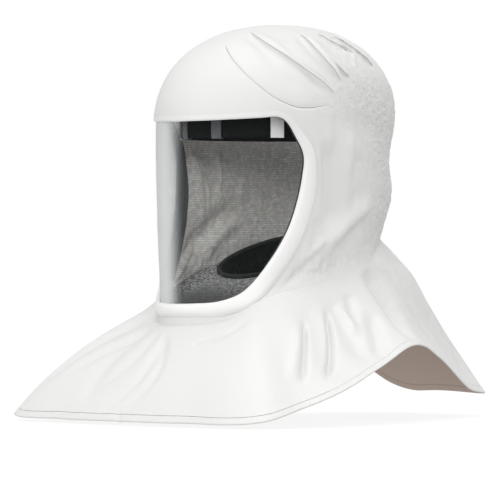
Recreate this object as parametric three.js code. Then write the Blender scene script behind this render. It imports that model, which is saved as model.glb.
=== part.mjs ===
// Chemical-resistant respirator hood: a pleated cloth hood with a wide clear visor and a shoulder bib.
// Millimetres and degrees. The face looks along -Y, +X is the wearer's left side and +Z is up.
// The origin is the middle of the headband. Angles run round the head from the face (0) to the nape (180).
import * as THREE from "three";
import { mergeVertices } from "three/addons/utils/BufferGeometryUtils.js";

const RAD = Math.PI / 180;

// Wall thicknesses and the slit that neighbouring pieces keep
const CLOTH = 1.5;
const LENS = 1.0;
const TAPE = 1.0;
const SEAM_GAP = 0.5;

// Head form below the headband: a row for each section, with its half width at the ears,
// its reach to the face and its reach to the back
const HEAD_SECTIONS = [
  { height: -230, halfWidth: 95, face: 148, back: 116 },
  { height: -166, halfWidth: 98, face: 149, back: 122 },
  { height: -120, halfWidth: 103, face: 149, back: 132 },
  { height: -76, halfWidth: 106, face: 149, back: 150 },
  { height: -40, halfWidth: 108, face: 149, back: 143 },
  { height: 0, halfWidth: 108, face: 149, back: 154 },
];
const CROWN_HEIGHT = 106;
const CROWN_SQUARENESS = 2.25;
const CROWN_LEAN = 11;

// Neck line where the bib starts, a slanted ring that is lowest under the chin
const NECK_LINE = [
  { angle: 0, height: -219 },
  { angle: 24, height: -217 },
  { angle: 36, height: -211 },
  { angle: 45, height: -198 },
  { angle: 55, height: -187 },
  { angle: 72, height: -177 },
  { angle: 90, height: -168 },
  { angle: 118, height: -145 },
  { angle: 145, height: -127 },
  { angle: 180, height: -118 },
];

// How far the top of the bib stays below the neck line
const NECK_DROP = 1;

// Seam from the brow over the temples to the back of the crown
const CROWN_SEAM = [
  { angle: 0, height: 89 },
  { angle: 10, height: 85 },
  { angle: 20, height: 75 },
  { angle: 32, height: 58 },
  { angle: 45, height: 37 },
  { angle: 55, height: 22 },
  { angle: 66, height: 13 },
  { angle: 80, height: 16 },
  { angle: 94, height: 24 },
  { angle: 130, height: 27 },
  { angle: 180, height: 28 },
];

// Seam between the side of the head and the gathered back, from the crown seam (0) to the neck line (1)
const BACK_SEAM = [
  { share: 0, angle: 94 },
  { share: 0.32, angle: 111 },
  { share: 0.65, angle: 109 },
  { share: 1, angle: 118 },
];
const BACK_SEAM_TOP = BACK_SEAM[0].angle;
const BACK_SEAM_FOOT = BACK_SEAM[BACK_SEAM.length - 1].angle;

// Window outline laid flat, from the middle of the brow down to the middle of the chin
const WINDOW = [
  { across: 0, height: -2 },
  { across: 48, height: -1 },
  { across: 96, height: 1.5 },
  { across: 118, height: 2.5 },
  { across: 127, height: -2 },
  { across: 138, height: -18 },
  { across: 148, height: -38 },
  { across: 147, height: -62 },
  { across: 142, height: -88 },
  { across: 132, height: -118 },
  { across: 114, height: -150 },
  { across: 92, height: -177 },
  { across: 78, height: -187 },
  { across: 55, height: -194 },
  { across: 26, height: -196 },
  { across: 0, height: -196.5 },
];
const BROW_BAND = 6;
const CHEEK_BAND = 21;
const CHIN_BAND = 14;
const BAND_WIDE = 0.52;
const BAND_NARROWS = 0.58;
const LENS_MARGIN = 12;
const LENS_REST = 1.1;
const LENS_RINGS = [1, 0.62, 0.3, 0];
const LENS_MIDDLE = -85;
const TAPE_STEP = 3;
const TAPE_WIDTH = 26;
const TAPE_REST = 1.4;
const TAPE_END = 0.71;

// Corner of the window and jaw on the flat layout, and the shares of the window outline that belong to them
const CORNER = 118;
const BROW_END = 0.41;
const CHEEK_END = 0.64;
const JAW = 140;
const JAW_RUN = 0.72;
const UPRIGHT_ENDS = 0.02;

// Edge of the bib: a row for each place round it, with its reach and height,
// and how far the cloth bulges out between the neck line and the edge
const BIB_EDGE = [
  { angle: 0, reach: 238, height: -319, bulge: 6 },
  { angle: 22, reach: 251, height: -319, bulge: 10 },
  { angle: 42.5, reach: 282, height: -316, bulge: 14 },
  { angle: 51.5, reach: 257, height: -303, bulge: 6 },
  { angle: 60, reach: 241, height: -290, bulge: 0 },
  { angle: 77, reach: 208, height: -263, bulge: -8 },
  { angle: 98, reach: 187, height: -240, bulge: -8 },
  { angle: 125, reach: 184, height: -256, bulge: -2 },
  { angle: 150, reach: 225, height: -292, bulge: 0 },
  { angle: 165, reach: 273, height: -299, bulge: 2 },
  { angle: 180, reach: 268, height: -297, bulge: 2 },
];

// How much higher the edge of the rear flap is turned up on the wearer's right side
const FLAP_TURN = [
  { angle: 98, lift: 0 },
  { angle: 125, lift: 8 },
  { angle: 142, lift: 36 },
  { angle: 152, lift: 42 },
  { angle: 159, lift: 28 },
  { angle: 165, lift: 9 },
  { angle: 174, lift: 0 },
];
const HEM_WIDTH = 9;
const HEM_THICKNESS = 2.4;
const HEM_STRETCH = 0.25;

// Folds on the head: each runs from a start past a middle to an end, all as angle and height.
// A lap is a tuck whose cloth stands up on the upper side of its line; a fold without one is a soft dent,
// or a ridge where its depth is negative
const HEAD_FOLDS = [
  { start: [16, 99], middle: [58, 78], end: [88, 24], depth: 5, width: 15, lap: 1 },
  { start: [60, 97], middle: [82, 72], end: [95, 38], depth: 4.5, width: 13, lap: 1 },
  { start: [92, 96], middle: [97, 72], end: [101, 40], depth: 3.5, width: 11, lap: 1 },
  { start: [122, 96], middle: [122, 70], end: [116, 38], depth: 3.5, width: 13, lap: 1 },
  { start: [150, 97], middle: [148, 72], end: [144, 36], depth: 3, width: 13, lap: 0 },
  { start: [40, 82], middle: [54, 62], end: [68, 26], depth: 2.5, width: 13, lap: 0 },
  { start: [83, -24], middle: [84, -80], end: [86, -138], depth: 4, width: 15, lap: 0 },
  { start: [112, -96], middle: [92, -118], end: [70, -156], depth: -4, width: 14, lap: 0 },
  { start: [116, -116], middle: [98, -138], end: [80, -164], depth: 4, width: 9, lap: 0 },
];

// Gathers of the elastic back: ribs that run down it, with their depth
const GATHER_COUNT = 6;
const GATHER_DEPTH = 1.6;

// Folds on the bib, as angle and share of the way from the neck line to the edge.
// A side of 1 is the wearer's left, -1 the right and 0 both
const BIB_FOLDS = [
  { start: [68, 0.12], middle: [66, 0.5], end: [64, 0.92], depth: 6, width: 14, side: 0 },
  { start: [80, 0.1], middle: [78, 0.5], end: [74, 0.95], depth: 6, width: 14, side: 0 },
  { start: [73, 0.1], middle: [72, 0.45], end: [70, 0.8], depth: -4, width: 14, side: 0 },
  { start: [97, 0.15], middle: [98, 0.5], end: [96, 0.95], depth: 5, width: 15, side: 0 },
  { start: [112, 0.05], middle: [122, 0.4], end: [130, 0.85], depth: 6, width: 16, side: 0 },
  { start: [140, 0.1], middle: [146, 0.5], end: [150, 0.95], depth: -5, width: 20, side: 0 },
  { start: [36, 0.05], middle: [38, 0.4], end: [40, 0.85], depth: 4, width: 13, side: -1 },
  { start: [22, 0.05], middle: [20, 0.45], end: [16, 0.9], depth: 3.5, width: 15, side: -1 },
  { start: [104, 0.14], middle: [136, 0.19], end: [170, 0.14], depth: -9, width: 26, side: 0 },
];

// How a fold fades at its ends, how sharp the step of a lap is and how deep the valley under it
const FOLD_FADE = 0.25;
const LAP_SHARP = 0.3;
const LAP_VALLEY = 0.4;

// Headband, an oval ring behind the brow, and the tabs that hang it
const BAND = { halfWidth: 83, halfLength: 104, middle: -11, thickness: 5, height: 38, edge: 1.2 };
const TAB = { angle: 58, width: 15, thickness: 1.6, lean: 68, top: 38, lie: 10, gap: 0.4, wallGap: 1.2 };

// Collar across the neck and the knitted cuff in its hole
const COLLAR_HEIGHT = -147;
const COLLAR_SLOPE = 0.4;
const COLLAR_RISE = 5;
const COLLAR_LIFT = 3;
const COLLAR_WALL_GAP = 1.5;
const NECK_HOLE = 62;
const CUFF = { depth: 58, taper: 8, thickness: 2.2, lip: 4.5, roll: 3 };

// Facets
const FOLD_STEPS = 10;
const FLAT_STEPS = 720;
const SEAM_STEPS = { brow: 16, side: 8, chin: 14, back: 24 };
const BANDS = { front: 5, crown: 9, bib: 8, collar: 3 };
const LENS_STEPS = 38;
const TAPE_STEPS = 28;
const COLLAR_STEPS = 44;
const CUFF_STEPS = 32;
const BAND_STEPS = 22;

// Smooth line through one column of a table; a mirrored table is level at both ends
function columnCurve(rows, from, to, mirrored) {
  const keys = rows.map((row) => row[from]);
  const values = rows.map((row) => row[to]);
  const cubic = new THREE.CubicInterpolant(keys, values, 1);
  const ending = mirrored ? THREE.ZeroSlopeEnding : THREE.ZeroCurvatureEnding;
  cubic.settings = { endingStart: ending, endingEnd: ending };
  return (key) => cubic.evaluate(THREE.MathUtils.clamp(key, keys[0], keys[keys.length - 1]))[0];
}

const halfWidthAt = columnCurve(HEAD_SECTIONS, "height", "halfWidth", false);
const faceAt = columnCurve(HEAD_SECTIONS, "height", "face", false);
const backAt = columnCurve(HEAD_SECTIONS, "height", "back", false);
const crownSeamAt = columnCurve(CROWN_SEAM, "angle", "height", true);
const backSeamAt = columnCurve(BACK_SEAM, "share", "angle", false);
const neckLineAt = columnCurve(NECK_LINE, "angle", "height", true);
const bibReachAt = columnCurve(BIB_EDGE, "angle", "reach", true);
const bibHeightAt = columnCurve(BIB_EDGE, "angle", "height", true);
const bibBulgeAt = columnCurve(BIB_EDGE, "angle", "bulge", true);
const flapTurnAt = columnCurve(FLAP_TURN, "angle", "lift", true);

// Angle from the face on either side, from 0 to 180
function sideAngle(angle) {
  return Math.abs(THREE.MathUtils.euclideanModulo(angle + 180, 360) - 180);
}

function neckHeight(angle) {
  return neckLineAt(sideAngle(angle));
}

// Height of the seam between side and back, a share of the way down it
function backSeamHeight(share) {
  return THREE.MathUtils.lerp(crownSeamAt(BACK_SEAM_TOP), neckHeight(BACK_SEAM_FOOT), share);
}

// Smooth head form without folds
function headForm(angle, height) {
  const lift = THREE.MathUtils.clamp(height / CROWN_HEIGHT, 0, 1);
  const shrink = Math.pow(1 - Math.pow(lift, CROWN_SQUARENESS), 1 / CROWN_SQUARENESS);
  const forward = Math.cos(angle * RAD);
  const reach = forward > 0 ? faceAt(height) : backAt(height);
  const across = halfWidthAt(height) * shrink * Math.sin(angle * RAD);
  return new THREE.Vector3(across, CROWN_LEAN * lift - reach * shrink * forward, height);
}

const PROBE_ANGLE = 0.05;
const PROBE_HEIGHT = 0.02;
const FLAT_TOP = 0.9995 * CROWN_HEIGHT;

function headNormal(angle, height) {
  if (height > FLAT_TOP) {
    return new THREE.Vector3(0, 0, 1);
  }
  const along = headForm(angle + PROBE_ANGLE, height).sub(headForm(angle - PROBE_ANGLE, height));
  const up = headForm(angle, height + PROBE_HEIGHT).sub(headForm(angle, height - PROBE_HEIGHT));
  return along.cross(up).normalize();
}

function bezier(start, control, end, t) {
  const near = start.clone().lerp(control, t);
  return near.lerp(control.clone().lerp(end, t), t);
}

// Smooth bib form without folds; share runs from the neck line (0) to the edge (1)
function bibForm(angle, share) {
  const place = sideAngle(angle);
  const outward = new THREE.Vector3(Math.sin(angle * RAD), -Math.cos(angle * RAD), 0);
  const neck = headForm(angle, neckHeight(angle));
  const turn = outward.x < 0 ? flapTurnAt(place) : 0;
  const edge = outward.clone().multiplyScalar(bibReachAt(place)).setZ(bibHeightAt(place) + turn);
  const fall = edge.clone().sub(neck);
  const side = outward.cross(new THREE.Vector3(0, 0, 1));
  const swell = neck.clone().lerp(edge, 0.5);
  swell.addScaledVector(side.cross(fall).normalize(), 2 * bibBulgeAt(place));
  return bezier(neck, swell, edge, share);
}

const PROBE_SHARE = 0.001;

function bibNormal(angle, share) {
  const inside = THREE.MathUtils.clamp(share, PROBE_SHARE, 1 - PROBE_SHARE);
  const along = bibForm(angle + PROBE_ANGLE, inside).sub(bibForm(angle - PROBE_ANGLE, inside));
  const down = bibForm(angle, inside + PROBE_SHARE).sub(bibForm(angle, inside - PROBE_SHARE));
  return down.cross(along).normalize();
}

// A fold as a line of points on its smooth form
function foldLine(fold, form) {
  const rows = [fold.start, fold.middle, fold.end];
  const [start, middle, end] = rows.map((row) => new THREE.Vector3(...row, 0));
  const control = middle.clone().multiplyScalar(2).addScaledVector(start, -0.5).addScaledVector(end, -0.5);
  const points = [];
  for (let step = 0; step <= FOLD_STEPS; step += 1) {
    const at = bezier(start, control, end, step / FOLD_STEPS);
    points.push(form(at.x, at.y));
  }
  return { ...fold, points };
}

const headFolds = HEAD_FOLDS.map((fold) => foldLine(fold, headForm));
const bibFolds = BIB_FOLDS.map((fold) => foldLine(fold, bibForm));

// Cross-section of a fold at a signed distance from its line
function foldProfile(fold, distance) {
  const spread = distance / fold.width;
  if (!fold.lap) {
    return -fold.depth * Math.exp(-spread * spread);
  }
  const rise = Math.exp(-spread * spread) * THREE.MathUtils.smoothstep(spread, -LAP_SHARP, LAP_SHARP);
  const valley = Math.exp(-Math.pow(spread / LAP_SHARP + 1, 2));
  return fold.depth * (rise - LAP_VALLEY * valley);
}

// How far the folds move a point of a form along its normal
function foldShift(folds, point, normal) {
  let shift = 0;
  for (const fold of folds) {
    const place = point.clone();
    const facing = normal.clone();
    const mirrored = fold.side ? fold.side < 0 : point.x < 0;
    if (mirrored) {
      place.x = -place.x;
      facing.x = -facing.x;
    }
    let best = Infinity;
    let signed = 0;
    let run = 0;
    for (let step = 0; step < FOLD_STEPS; step += 1) {
      const line = new THREE.Line3(fold.points[step], fold.points[step + 1]);
      const share = line.closestPointToPointParameter(place, true);
      const away = place.clone().sub(line.at(share, new THREE.Vector3()));
      if (away.length() < best) {
        best = away.length();
        const side = facing.clone().cross(line.delta(new THREE.Vector3()));
        signed = away.dot(side) < 0 ? -best : best;
        run = (step + share) / FOLD_STEPS;
      }
    }
    const fade = THREE.MathUtils.smoothstep(Math.min(run, 1 - run), 0, FOLD_FADE);
    shift += fade * foldProfile(fold, signed);
  }
  return shift;
}

// Points of the finished cloth, a distance inside its outer face
function headPoint(angle, height, inside) {
  const point = headForm(angle, height);
  const normal = headNormal(angle, height);
  return point.addScaledVector(normal, foldShift(headFolds, point, normal) - inside);
}

function bibPoint(angle, share, inside) {
  const point = bibForm(angle, share);
  const normal = bibNormal(angle, share);
  return point.addScaledVector(normal, foldShift(bibFolds, point, normal) - inside);
}

// Closed wall between an outer and an inner grid of points; a looped grid runs all the way round
function wallGeometry(outer, inner, looped) {
  const rows = outer.length;
  const columns = outer[0].length;
  const positions = [];
  const places = new Map();
  const index = [];
  const vertex = (point) => {
    const key = point.toArray().map((value) => value.toFixed(4)).join(" ");
    if (!places.has(key)) {
      places.set(key, positions.length / 3);
      positions.push(point.x, point.y, point.z);
    }
    return places.get(key);
  };
  const triangle = (a, b, c) => {
    const corners = [vertex(a), vertex(b), vertex(c)];
    if (new Set(corners).size === 3) {
      index.push(...corners);
    }
  };
  const quad = (a, b, c, d) => {
    triangle(a, b, c);
    triangle(a, c, d);
  };
  const last = rows - 1;
  for (let column = 0; column < (looped ? columns : columns - 1); column += 1) {
    const next = (column + 1) % columns;
    for (let row = 0; row < last; row += 1) {
      quad(outer[row][column], outer[row][next], outer[row + 1][next], outer[row + 1][column]);
      quad(inner[row][column], inner[row + 1][column], inner[row + 1][next], inner[row][next]);
    }
    quad(outer[0][column], inner[0][column], inner[0][next], outer[0][next]);
    quad(outer[last][column], outer[last][next], inner[last][next], inner[last][column]);
  }
  if (!looped) {
    const end = columns - 1;
    for (let row = 0; row < last; row += 1) {
      quad(outer[row][0], outer[row + 1][0], inner[row + 1][0], inner[row][0]);
      quad(outer[row][end], inner[row][end], inner[row + 1][end], outer[row + 1][end]);
    }
  }
  return facingOut(positions, index);
}

// Turns the triangles over where they enclose a negative volume
function facingOut(positions, index) {
  const corner = (at) => new THREE.Vector3().fromArray(positions, 3 * index[at]);
  let volume = 0;
  for (let at = 0; at < index.length; at += 3) {
    volume += corner(at).dot(corner(at + 1).cross(corner(at + 2)));
  }
  const geometry = new THREE.BufferGeometry();
  geometry.setAttribute("position", new THREE.Float32BufferAttribute(positions, 3));
  geometry.setIndex(volume < 0 ? index.reverse() : index);
  geometry.computeVertexNormals();
  return geometry;
}

function gridOf(rows, columns, place) {
  const rowOf = (row) => Array.from({ length: columns }, (_, column) => place(row, column));
  return Array.from({ length: rows }, (_, row) => rowOf(row));
}

// Flat layout of the head: distance across at headband height against angle
const flatRuns = [0];
for (let step = 1; step <= FLAT_STEPS; step += 1) {
  const from = headForm((180 * (step - 1)) / FLAT_STEPS, 0);
  flatRuns.push(flatRuns[step - 1] + from.distanceTo(headForm((180 * step) / FLAT_STEPS, 0)));
}

function angleAcross(across) {
  const run = Math.abs(across);
  const step = THREE.MathUtils.clamp(flatRuns.findIndex((value) => value >= run), 1, FLAT_STEPS);
  const part = (run - flatRuns[step - 1]) / (flatRuns[step] - flatRuns[step - 1]);
  return (Math.sign(across) * 180 * (step - 1 + part)) / FLAT_STEPS;
}

function acrossAngle(angle) {
  const place = (Math.abs(angle) / 180) * FLAT_STEPS;
  const step = Math.min(Math.floor(place), FLAT_STEPS - 1);
  const run = THREE.MathUtils.lerp(flatRuns[step], flatRuns[step + 1], place - step);
  return Math.sign(angle) * run;
}

// Window outline as a curve on the flat layout, with three stretches on each side:
// brow, cheek and chin
const windowCurve = new THREE.CatmullRomCurve3(
  WINDOW.map((row) => new THREE.Vector3(row.across, row.height, 0)),
  false,
  "centripetal",
);
const windowLength = windowCurve.getLength();

// Brow columns stand upright as far as the corner of the window and fan out beyond it
function browRun(share) {
  const across = share * acrossAngle(BACK_SEAM_TOP);
  const cornerRun = CORNER / windowLength;
  if (across < CORNER) {
    return across / windowLength;
  }
  const beyond = (across - CORNER) / (acrossAngle(BACK_SEAM_TOP) - CORNER);
  return THREE.MathUtils.lerp(cornerRun, BROW_END, beyond);
}

// Chin columns fan in from the back seam and stand square to the neck line below the jaw
function chinRun(share) {
  const across = (1 - share) * acrossAngle(BACK_SEAM_FOOT);
  if (across < JAW) {
    return THREE.MathUtils.lerp(1, JAW_RUN, across / JAW);
  }
  return THREE.MathUtils.mapLinear(across, JAW, acrossAngle(BACK_SEAM_FOOT), JAW_RUN, CHEEK_END);
}

const halfRuns = [];
for (let step = 0; step < SEAM_STEPS.brow; step += 1) {
  halfRuns.push(browRun(step / SEAM_STEPS.brow));
}
for (let step = 0; step < SEAM_STEPS.side; step += 1) {
  halfRuns.push(THREE.MathUtils.lerp(BROW_END, CHEEK_END, step / SEAM_STEPS.side));
}
for (let step = 0; step <= SEAM_STEPS.chin; step += 1) {
  halfRuns.push(chinRun(step / SEAM_STEPS.chin));
}

// A signed run from -1 to 1 goes round the window from the right side of the chin past the brow to the left
const fullRuns = [...halfRuns, ...halfRuns.slice(1, -1).reverse().map((run) => -run)];

function bandWidth(run) {
  const half = Math.abs(run);
  const cheek = THREE.MathUtils.smoothstep(half, CORNER / windowLength, BAND_WIDE);
  const chin = THREE.MathUtils.smoothstep(half, BAND_NARROWS, 1);
  const width = THREE.MathUtils.lerp(BROW_BAND, CHEEK_BAND, cheek);
  return THREE.MathUtils.lerp(width, CHIN_BAND, chin);
}

// A place on the flat layout, at a distance outside the window outline
function besideWindow(run, distance) {
  const half = Math.abs(run);
  const at = windowCurve.getPointAt(half);
  const tangent = windowCurve.getTangentAt(half);
  const outward = new THREE.Vector3(-tangent.y, tangent.x, 0);
  if (half < UPRIGHT_ENDS || half > 1 - UPRIGHT_ENDS) {
    outward.set(0, half < 0.5 ? 1 : -1, 0);
  }
  at.addScaledVector(outward, distance);
  return { across: Math.sign(run || 1) * at.x, height: at.y };
}

function flatPoint(place, inside) {
  return headPoint(angleAcross(place.across), place.height, inside);
}

// Ring of cloth round the window between two distances from its outline
function windowRing(runs, distances, depths, thickness, looped) {
  const layer = (extra) =>
    gridOf(distances.length, runs.length, (row, column) =>
      flatPoint(besideWindow(runs[column], distances[row](runs[column])), depths[row] + extra),
    );
  return wallGeometry(layer(0), layer(thickness), looped);
}

function borderGeometry() {
  const edge = () => 0;
  const rim = (run) => bandWidth(run) - SEAM_GAP / 2;
  return windowRing(fullRuns, [edge, rim], [0, 0], CLOTH, true);
}

// Brow, cheeks and sides: from the window band out to the seams and the neck line
function frontEdge(column) {
  const half = halfRuns.length - 1;
  const mirror = column > half ? -1 : 1;
  const step = mirror > 0 ? column : 2 * half - column;
  const { brow, side, chin } = SEAM_STEPS;
  const inset = SEAM_GAP / 2;
  if (step <= brow) {
    const across = (acrossAngle(BACK_SEAM_TOP) * step) / brow;
    return { across: mirror * across, height: crownSeamAt(angleAcross(across)) - inset };
  }
  if (step < brow + side) {
    const share = (step - brow) / side;
    return { across: mirror * (acrossAngle(backSeamAt(share)) - inset), height: backSeamHeight(share) };
  }
  const across = acrossAngle(BACK_SEAM_FOOT) * (1 - (step - brow - side) / chin);
  return { across: mirror * across, height: neckHeight(angleAcross(across)) + inset };
}

function frontGeometry() {
  const layer = (inside) =>
    gridOf(BANDS.front + 1, fullRuns.length, (row, column) => {
      const run = fullRuns[column];
      const inner = besideWindow(run, bandWidth(run) + SEAM_GAP / 2);
      const outer = frontEdge(column);
      const share = row / BANDS.front;
      const across = THREE.MathUtils.lerp(inner.across, outer.across, share);
      const height = THREE.MathUtils.lerp(inner.height, outer.height, share);
      return flatPoint({ across, height }, inside);
    });
  return wallGeometry(layer(0), layer(CLOTH), true);
}

// Crown: rings from the seam up to the top, with the columns of the front and the back
const crownAngles = [];
for (let step = -SEAM_STEPS.brow; step < SEAM_STEPS.brow; step += 1) {
  crownAngles.push(angleAcross((acrossAngle(BACK_SEAM_TOP) * step) / SEAM_STEPS.brow));
}
for (let step = 0; step < SEAM_STEPS.back; step += 1) {
  crownAngles.push(THREE.MathUtils.lerp(BACK_SEAM_TOP, 360 - BACK_SEAM_TOP, step / SEAM_STEPS.back));
}

function crownGeometry() {
  const layer = (inside) =>
    gridOf(BANDS.crown + 1, crownAngles.length, (row, column) => {
      const angle = crownAngles[column];
      const foot = (crownSeamAt(sideAngle(angle)) + SEAM_GAP / 2) / CROWN_HEIGHT;
      const start = Math.asin(Math.pow(foot, CROWN_SQUARENESS / 2));
      const turn = THREE.MathUtils.lerp(start, Math.PI / 2, row / BANDS.crown);
      const height = CROWN_HEIGHT * Math.pow(Math.sin(turn), 2 / CROWN_SQUARENESS);
      return headPoint(row === BANDS.crown ? 0 : angle, height, inside);
    });
  return wallGeometry(layer(0), layer(CLOTH), true);
}

// Gathered back of the head, drawn into upright ribs
function backGeometry() {
  const inset = SEAM_GAP / 2;
  const layer = (inside) =>
    gridOf(SEAM_STEPS.side + 1, SEAM_STEPS.back + 1, (row, column) => {
      const share = row / SEAM_STEPS.side;
      const round = column / SEAM_STEPS.back;
      const edge = angleAcross(acrossAngle(backSeamAt(share)) + inset);
      const angle = THREE.MathUtils.lerp(edge, 360 - edge, round);
      const topAngle = THREE.MathUtils.lerp(BACK_SEAM_TOP, 360 - BACK_SEAM_TOP, round);
      const footAngle = THREE.MathUtils.lerp(BACK_SEAM_FOOT, 360 - BACK_SEAM_FOOT, round);
      const top = crownSeamAt(sideAngle(topAngle)) - inset;
      const height = THREE.MathUtils.lerp(top, neckHeight(footAngle) + inset, share);
      const rib = Math.cos(2 * Math.PI * GATHER_COUNT * round) * Math.sin(Math.PI * round);
      return headPoint(angle, height, inside + GATHER_DEPTH * Math.sin(Math.PI * share) * rib);
    });
  return wallGeometry(layer(0), layer(CLOTH), false);
}

// Visor: rings that shrink from the margin under the band to the middle of the window
function lensGeometry() {
  const depth = CLOTH + LENS_REST;
  const layer = (inside) =>
    gridOf(LENS_RINGS.length + 1, LENS_STEPS, (row, column) => {
      const run = fullRuns[Math.round((column * fullRuns.length) / LENS_STEPS)];
      if (row === 0) {
        return flatPoint(besideWindow(run, Math.min(LENS_MARGIN, bandWidth(run))), inside);
      }
      const edge = besideWindow(run, 0);
      const scale = LENS_RINGS[row - 1];
      const height = THREE.MathUtils.lerp(LENS_MIDDLE, edge.height, scale);
      return flatPoint({ across: edge.across * scale, height }, inside);
    });
  return wallGeometry(layer(depth), layer(depth + LENS), true);
}

// Tape over the inner edge of the visor at the brow and the cheeks, which steps out to the cloth beside it
function tapeGeometry() {
  const runAt = (step) => TAPE_END * ((2 * step) / TAPE_STEPS - 1);
  const runs = Array.from({ length: TAPE_STEPS + 1 }, (_, step) => runAt(step));
  const overLens = CLOTH + LENS_REST + LENS + LENS_REST;
  const overCloth = CLOTH + TAPE_REST;
  const margin = (run) => Math.min(LENS_MARGIN, bandWidth(run)) + SEAM_GAP;
  const step = (run) => margin(run) + TAPE_STEP;
  const rim = (run) => Math.max((TAPE_WIDTH * bandWidth(run)) / CHEEK_BAND, step(run) + TAPE_STEP);
  const distances = [() => 0, margin, step, rim];
  const depths = [overLens, overLens, overCloth, overCloth];
  return windowRing(runs, distances, depths, TAPE, false);
}

// Bib and its hem: rows from the neck line to the edge, with two columns to each one of the front above
const bibAngles = [];
for (let step = -2 * SEAM_STEPS.chin; step < 2 * SEAM_STEPS.chin; step += 1) {
  bibAngles.push(angleAcross((acrossAngle(BACK_SEAM_FOOT) * step) / (2 * SEAM_STEPS.chin)));
}
for (let step = 0; step < SEAM_STEPS.back; step += 1) {
  bibAngles.push(THREE.MathUtils.lerp(BACK_SEAM_FOOT, 360 - BACK_SEAM_FOOT, step / SEAM_STEPS.back));
}

// Place on the neck line, where every second column lies half way between its neighbours
function neckPoint(column, inside) {
  const between = column % 2 === 1 && column < 4 * SEAM_STEPS.chin;
  const sides = between ? [column - 1, column + 1] : [column, column];
  const [before, after] = sides.map((at) => bibPoint(bibAngles[at], 0, inside));
  const point = before.lerp(after, 0.5);
  point.z -= NECK_DROP;
  return point;
}

// Share of the way to the edge at which the hem starts, from the length of the last stretch of the bib
function hemShare(angle) {
  const stretch = bibForm(angle, 1 - HEM_STRETCH).distanceTo(bibForm(angle, 1));
  return 1 - (HEM_WIDTH * HEM_STRETCH) / stretch;
}

function bibGeometry() {
  const layer = (inside) =>
    gridOf(BANDS.bib + 1, bibAngles.length, (row, column) => {
      const angle = bibAngles[column];
      const share = (hemShare(angle) * row) / BANDS.bib;
      return row === 0 ? neckPoint(column, inside) : bibPoint(angle, share, inside);
    });
  return wallGeometry(layer(0), layer(CLOTH), true);
}

function hemGeometry() {
  const proud = (HEM_THICKNESS - CLOTH) / 2;
  const slit = SEAM_GAP / HEM_WIDTH;
  const layer = (inside) =>
    gridOf(2, bibAngles.length, (row, column) => {
      const angle = bibAngles[column];
      const start = THREE.MathUtils.lerp(hemShare(angle), 1, slit);
      return bibPoint(angle, row === 0 ? start : 1, inside);
    });
  return wallGeometry(layer(-proud), layer(HEM_THICKNESS - proud), true);
}

// Headband: an oval ring with softened edges
function bandGeometry() {
  const { halfWidth, halfLength, thickness, height, edge } = BAND;
  const outline = new THREE.Shape();
  outline.absellipse(0, 0, halfWidth - edge, halfLength - edge, 0, 2 * Math.PI, false);
  const hole = new THREE.Path();
  const inset = thickness - edge;
  hole.absellipse(0, 0, halfWidth - inset, halfLength - inset, 0, 2 * Math.PI, true);
  outline.holes.push(hole);
  const geometry = new THREE.ExtrudeGeometry(outline, {
    depth: height - 2 * edge,
    curveSegments: BAND_STEPS,
    bevelSize: edge,
    bevelThickness: edge,
    bevelSegments: 1,
  });
  return solidOf(geometry.translate(0, 0, edge - height / 2));
}

// Vertices shared between faces, so that the solid closes
const MERGE_DISTANCE = 1e-4;

function solidOf(geometry) {
  geometry.deleteAttribute("normal");
  geometry.deleteAttribute("uv");
  const merged = mergeVertices(geometry, MERGE_DISTANCE);
  merged.computeVertexNormals();
  return merged;
}

// Tab: a strip that lies on the headband, leans out above it and lies against the cloth of the brow
const tabFoot = new THREE.Vector3(
  BAND.halfWidth * Math.sin(TAB.angle * RAD),
  BAND.middle - BAND.halfLength * Math.cos(TAB.angle * RAD),
  0,
);
const tabOut = new THREE.Vector3(Math.sin(TAB.lean * RAD), -Math.cos(TAB.lean * RAD), 0);

// Distance from the headband to the inner face of the cloth at a height
function tabReach(height) {
  const normal = headNormal(TAB.angle, height);
  const foot = tabFoot.clone().setZ(height);
  return headPoint(TAB.angle, height, CLOTH).sub(foot).dot(normal) / tabOut.dot(normal);
}

function tabGeometry() {
  const near = TAB.gap;
  const low = -BAND.height / 2;
  const bend = BAND.height / 2;
  const reachLow = tabReach(TAB.top - TAB.lie) - TAB.wallGap;
  const reachHigh = tabReach(TAB.top) - TAB.wallGap;
  const side = new THREE.Shape([
    new THREE.Vector2(near, low),
    new THREE.Vector2(near + TAB.thickness, low),
    new THREE.Vector2(near + TAB.thickness, bend - TAB.thickness),
    new THREE.Vector2(reachLow, TAB.top - TAB.lie),
    new THREE.Vector2(reachHigh, TAB.top),
    new THREE.Vector2(reachHigh - TAB.thickness, TAB.top),
    new THREE.Vector2(reachLow - TAB.thickness, TAB.top - TAB.lie + TAB.thickness),
    new THREE.Vector2(near, bend),
  ]);
  const geometry = new THREE.ExtrudeGeometry(side, { depth: TAB.width, bevelEnabled: false, steps: 1 });
  return solidOf(geometry.translate(0, 0, -TAB.width / 2));
}

// Collar: rings from just above the neck line in to the neck hole, whose rim lies in a slanted plane
const collarNormal = new THREE.Vector3(0, -COLLAR_SLOPE, 1).normalize();

function collarEdge(angle) {
  return headPoint(angle, neckHeight(angle) + COLLAR_LIFT, CLOTH + COLLAR_WALL_GAP);
}

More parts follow.
